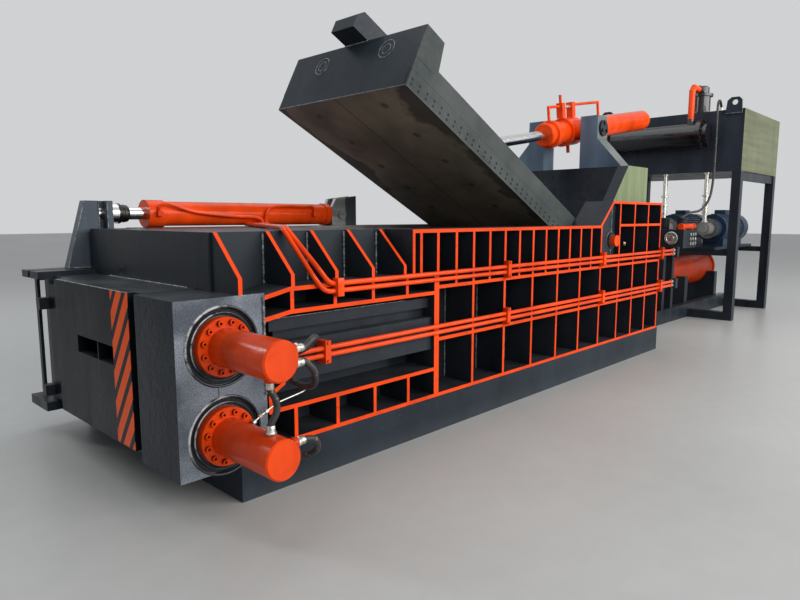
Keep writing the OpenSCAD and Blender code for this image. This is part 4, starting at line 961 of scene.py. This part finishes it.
beads += seams(*[((x, side * 240, 2046), (x, side * 740, 2046), 10)
                 for side in (-1, 1) for x in (5050, 5280)])
piece("frame_welds", beads, weld, "frame", 60)

lid_ring, lid_plug = ring_bead(76), ring_bead(42, 7)
lid_beads = []
for y, n in ((-0.395, 0.172), (0.345, 0.158)):
    place = lid_frame @ towards((-2.928, y, n), (-1, 0, 0))
    lid_beads += [(lid_ring, place), (lid_plug, place)]
for start, end, width in (
        ((-2.926, -0.132, 0.307), (-2.72, -0.132, 0.307), 10),
        ((-2.926, 0.132, 0.307), (-2.72, 0.132, 0.307), 10),
        ((-2.9285, -0.13, 0.303), (-2.9285, 0.13, 0.303), 10),
        ((-2.9285, -0.74, -0.197), (-2.9285, 0.74, -0.197), 7)):
    shape, place = seam(Vector(start), Vector(end), width)
    lid_beads.append((shape, lid_frame @ place))
piece("lid_welds", lid_beads, weld, "lid", 60)

gate_beads = seams(((-140, 849, 1146), (84, 849, 1146), 12),
                   ((84, 849, 1150), (84, 849, 1612), 11),
                   ((-140, 849, 1150), (-12, 849, 1612), 8),
                   ((128, 806, 1150), (128, 806, 1610), 9))
piece("gate_bracket_welds", gate_beads, weld, "gate", 60)

# Gate rod coupling: a blued and grooved sleeve that screws the rod to its
# bracket.
blued = Finish("blued_steel")
skin = blued.grain(24.0, 4.0)
blued.wear(Base_Color=blued.mix(blued.ramp(skin, 0.35, 0.7),
                                (0.010, 0.010, 0.011),
                                (0.045, 0.044, 0.042)),
           Roughness=blued.ramp(skin, 0.3, 0.7) * 0.2 + 0.26,
           Normal=blued.bump(skin, 0.001))
blued.fixed(Metallic=0.8)
sleeve = turned([(46, 172), (64, 172), (66, 176), (66, 226), (70, 231),
                 (74, 235), (74, 250), (70, 254), (62, 256), (62, 272),
                 (66, 274), (66, 286), (62, 288), (62, 304), (56, 312),
                 (46, 312)], 40)
piece("gate_rod_coupling",
      [(sleeve, towards(spot(0, 910, 1526), (1, 0, 0)))],
      blued, "gate")

# Hex bolts: three black ones hold each trunnion cap, ten each end cover of
# the cooler, and small painted pairs hold the pipe clamps to the ribs.
TRUNNION_X, TRUNNION_Z, CAP_CIRCLE = 5165, 2498, 56
COOLER_X, COOLER_Z, COVER_CIRCLE = 7940, 2670, 184
CLAMPS_X = (2386, 3994, 5408)
bolt_small = hexagon(19, 9)
bolt_large = hexagon(36, 16)
black_bolts = []
for side in (-1, 1):
    for turn_at in (90, 210, 330):
        a = math.radians(turn_at)
        black_bolts.append((bolt_large, towards(
            spot(TRUNNION_X + CAP_CIRCLE * math.cos(a), side * 469,
                 TRUNNION_Z + CAP_CIRCLE * math.sin(a)), (0, side, 0))))
for i in range(10):
    a = math.radians(i * 36 + 18)
    for y, way in ((-610, -1), (800, 1)):
        black_bolts.append((bolt_large, towards(
            spot(COOLER_X + COVER_CIRCLE * math.cos(a), y,
                 COOLER_Z + COVER_CIRCLE * math.sin(a)), (0, way, 0))))
piece("black_bolts", black_bolts, blued, "frame", 30)

clamps = [(560, LOWER_LEVELS[0])]
clamps += [(x, z) for x in CLAMPS_X
           for z in (UPPER_LEVELS[0], LOWER_LEVELS[0])]
clamp_bolts = [(bolt_small, towards(spot(x, -1108, z + dz), (0, -1, 0)))
               for x, z in clamps for dz in (-32, 74)]
piece("clamp_bolts", clamp_bolts, orange, "frame", 30)

# Main cylinder's flange: a ring of hexagon screws draws it to the box, in the
# same paint darkened as painted shade.
CYLINDER_LEVEL, FLANGE_CIRCLE = 660, 312
big_ring = [(bolt_large, towards(
    spot(5530, FLANGE_CIRCLE * math.cos(a),
         CYLINDER_LEVEL + FLANGE_CIRCLE * math.sin(a)), (1, 0, 0)))
    for a in (math.radians(11.25 + 22.5 * i) for i in range(16))]
piece("main_flange_screws", big_ring, shaded_orange, "frame", 30)

# Lower loop hose: a short hose from the lower cap's port, back under the
# cylinder. Each port has an orange adaptor, painted with the cylinder.
hung("lower_loop_hose", [spot(*place) for place in (
    (31, -1500, 440), (59, -1500, 440), (87, -1500, 440), (140, -1497, 425),
    (186, -1465, 378), (205, -1425, 330), (192, -1380, 298),
    (150, -1335, 290), (100, -1300, 312), (66, -1292, 340),
    (48, -1290, 348), (31, -1290, 352))])
adaptor = turned([(0, 0), (27, 0), (27, 14), (23, 18), (23, 30), (0, 30)])
piece("port_adaptors", [
    (adaptor, towards(spot(x, y, z), way)) for x, y, z, way in (
        (6, -1500, 440, (1, 0, 0)), (6, -1290, 352, (1, 0, 0)),
        (8, -1500, 892, (1, 0, 0)), (SIDE_X, -1460, 745, (0, 0, 1)))],
    orange, "frame", 30)

# Grease line: a thin bright tube from the lower flange's fitting to the wall,
# with its compression fittings.
grease_track = bent([spot(*place) for place in (
    (36, -1120, 443), (94, -1119, 473), (196, -1112, 515),
    (384, -1098, 537), (470, -1040, 541))], 0.02)
tubes("grease_line", [grease_track], 0.005, zinc, "frame")
small_nut = hexagon(24, 18, 1.0)
piece("grease_fittings", [
    (small_nut, towards(spot(*place), (0.89, 0.02, 0.46)))
    for place in ((36, -1120, 443), (76, -1119, 464), (116, -1117, 482))],
    zinc, "frame", 30)

# Plugs: a brass plug beside the hinge and a screwed plug in the roof's side
# panel, each set flush on its washer.
brass = Finish("plug_brass")
tarnish = brass.ramp(brass.grain(60.0, 4.0), 0.4, 0.7)
brass.wear(Base_Color=brass.mix(tarnish, (0.52, 0.40, 0.20),
                                (0.24, 0.17, 0.08)),
           Metallic=1.0 - tarnish * 0.3, Roughness=tarnish * 0.2 + 0.26)
plug_shape = turned([(0, 0), (20, 0), (20, 4), (15, 6), (15, 12), (11, 14),
                     (0, 14)])
piece("brass_plug", [(plug_shape, towards(spot(4627, -1001, 1227),
                                          (0, -1, 0)))],
      brass, "frame", 30)
piece("panel_plug", [(plug_shape, towards(spot(420, -801, 1222),
                                          (0, -1, 0)))],
      blued, "frame", 30)

# Lid cylinder: gland screws on its front flange, and the zinc plated union
# between the two port blocks.
barrel_frame = (Matrix.Translation(spot(TRUNNION_X, 0, TRUNNION_Z))
                @ Matrix.Rotation(math.radians(-9.717), 4, "Y"))
gland = [(bolt_small, barrel_frame @ towards(
    (-0.4305, 0.141 * math.cos(a), 0.141 * math.sin(a)), (-1, 0, 0)))
    for a in (math.radians(22.5 + 45 * i) for i in range(8))]
piece("lid_gland_screws", gland, orange, "lid_barrel", 30)
union_sleeve = turned([(0, 0), (20, 0), (20, 30), (16, 32), (16, 118),
                       (20, 120), (20, 150), (0, 150)])
piece("lid_pipe_union", [(union_sleeve, barrel_frame @ towards(
    (-0.078, 0, 0.282), (1, 0, 0)))], zinc, "lid_barrel", 30)

# Suction stacks: each pump draws from the tank through a zinc plated flange,
# a valve body and a short sleeve.
stack = turned([(0, 0), (44, 0), (44, 18), (30, 22), (30, 118), (46, 122),
                (46, 150), (36, 154), (36, 232), (46, 236), (46, 264),
                (30, 268), (30, 372), (52, 376), (52, 400), (30, 404),
                (30, 700), (50, 704), (50, 725.5), (0, 725.5)], 32)
piece("suction_stacks", [(stack, towards(spot(8226, y, 1424), (0, 0, 1)))
                         for y in PUMP_ROWS], zinc, "frame",
      30)

# Valve header: an orange manifold tube on two feet over the valve block. The
# block has a bright gauge port on its front and hexagon caps on its side.
VALVE_TOP = 1330.3
header = turned([(0, 0), (40, 0), (44, 4), (44, 30), (36, 34), (36, 440),
                 (44, 444), (44, 470), (40, 474), (0, 474)], 32)
piece("valve_header", [
    (header, towards(spot(7084, -674, 1372), (1, 0, 0))),
    (block(7130, 7190, -704, -644, VALVE_TOP, 1340), None),
    (block(7440, 7500, -704, -644, VALVE_TOP, 1340), None)],
    orange, "frame", 30)
port_disc = turned([(0, 0), (88, 0), (88, 8), (80, 12), (80, 16), (62, 16),
                    (58, 12), (40, 12), (36, 18), (0, 18)], 40)
piece("valve_end_disc", [(port_disc, towards(spot(7079.5, -560, 1215),
                                             (-1, 0, 0)))],
      zinc, "frame", 30)
valve_caps = [(union_nut, towards(spot(x, -720.5, z), (0, -1, 0)))
              for x in (7330, 7420, 7510) for z in (1140, 1200, 1262)]
piece("valve_caps", valve_caps, zinc, "frame", 30)

# Cylinder pipes: two tubes along the main cylinder up into the valve block,
# and the bright union nuts at the ends of the long pipe pairs.
tubes("cylinder_pipes", [
    bent([spot(5531, y, z), spot(x, y, z), spot(x, y, 1079.7)], 0.07)
    for x, y, z in ((7300, -238, 827), (7400, -270, 769))], 0.014, orange)
pipe_nut = hexagon(42, 46)
piece("pipe_unions", [
    (pipe_nut, towards(spot(5743.5, PIPES_Y, level), (1, 0, 0)))
    for level in UPPER_LEVELS + LOWER_LEVELS],
    zinc, "frame", 30)
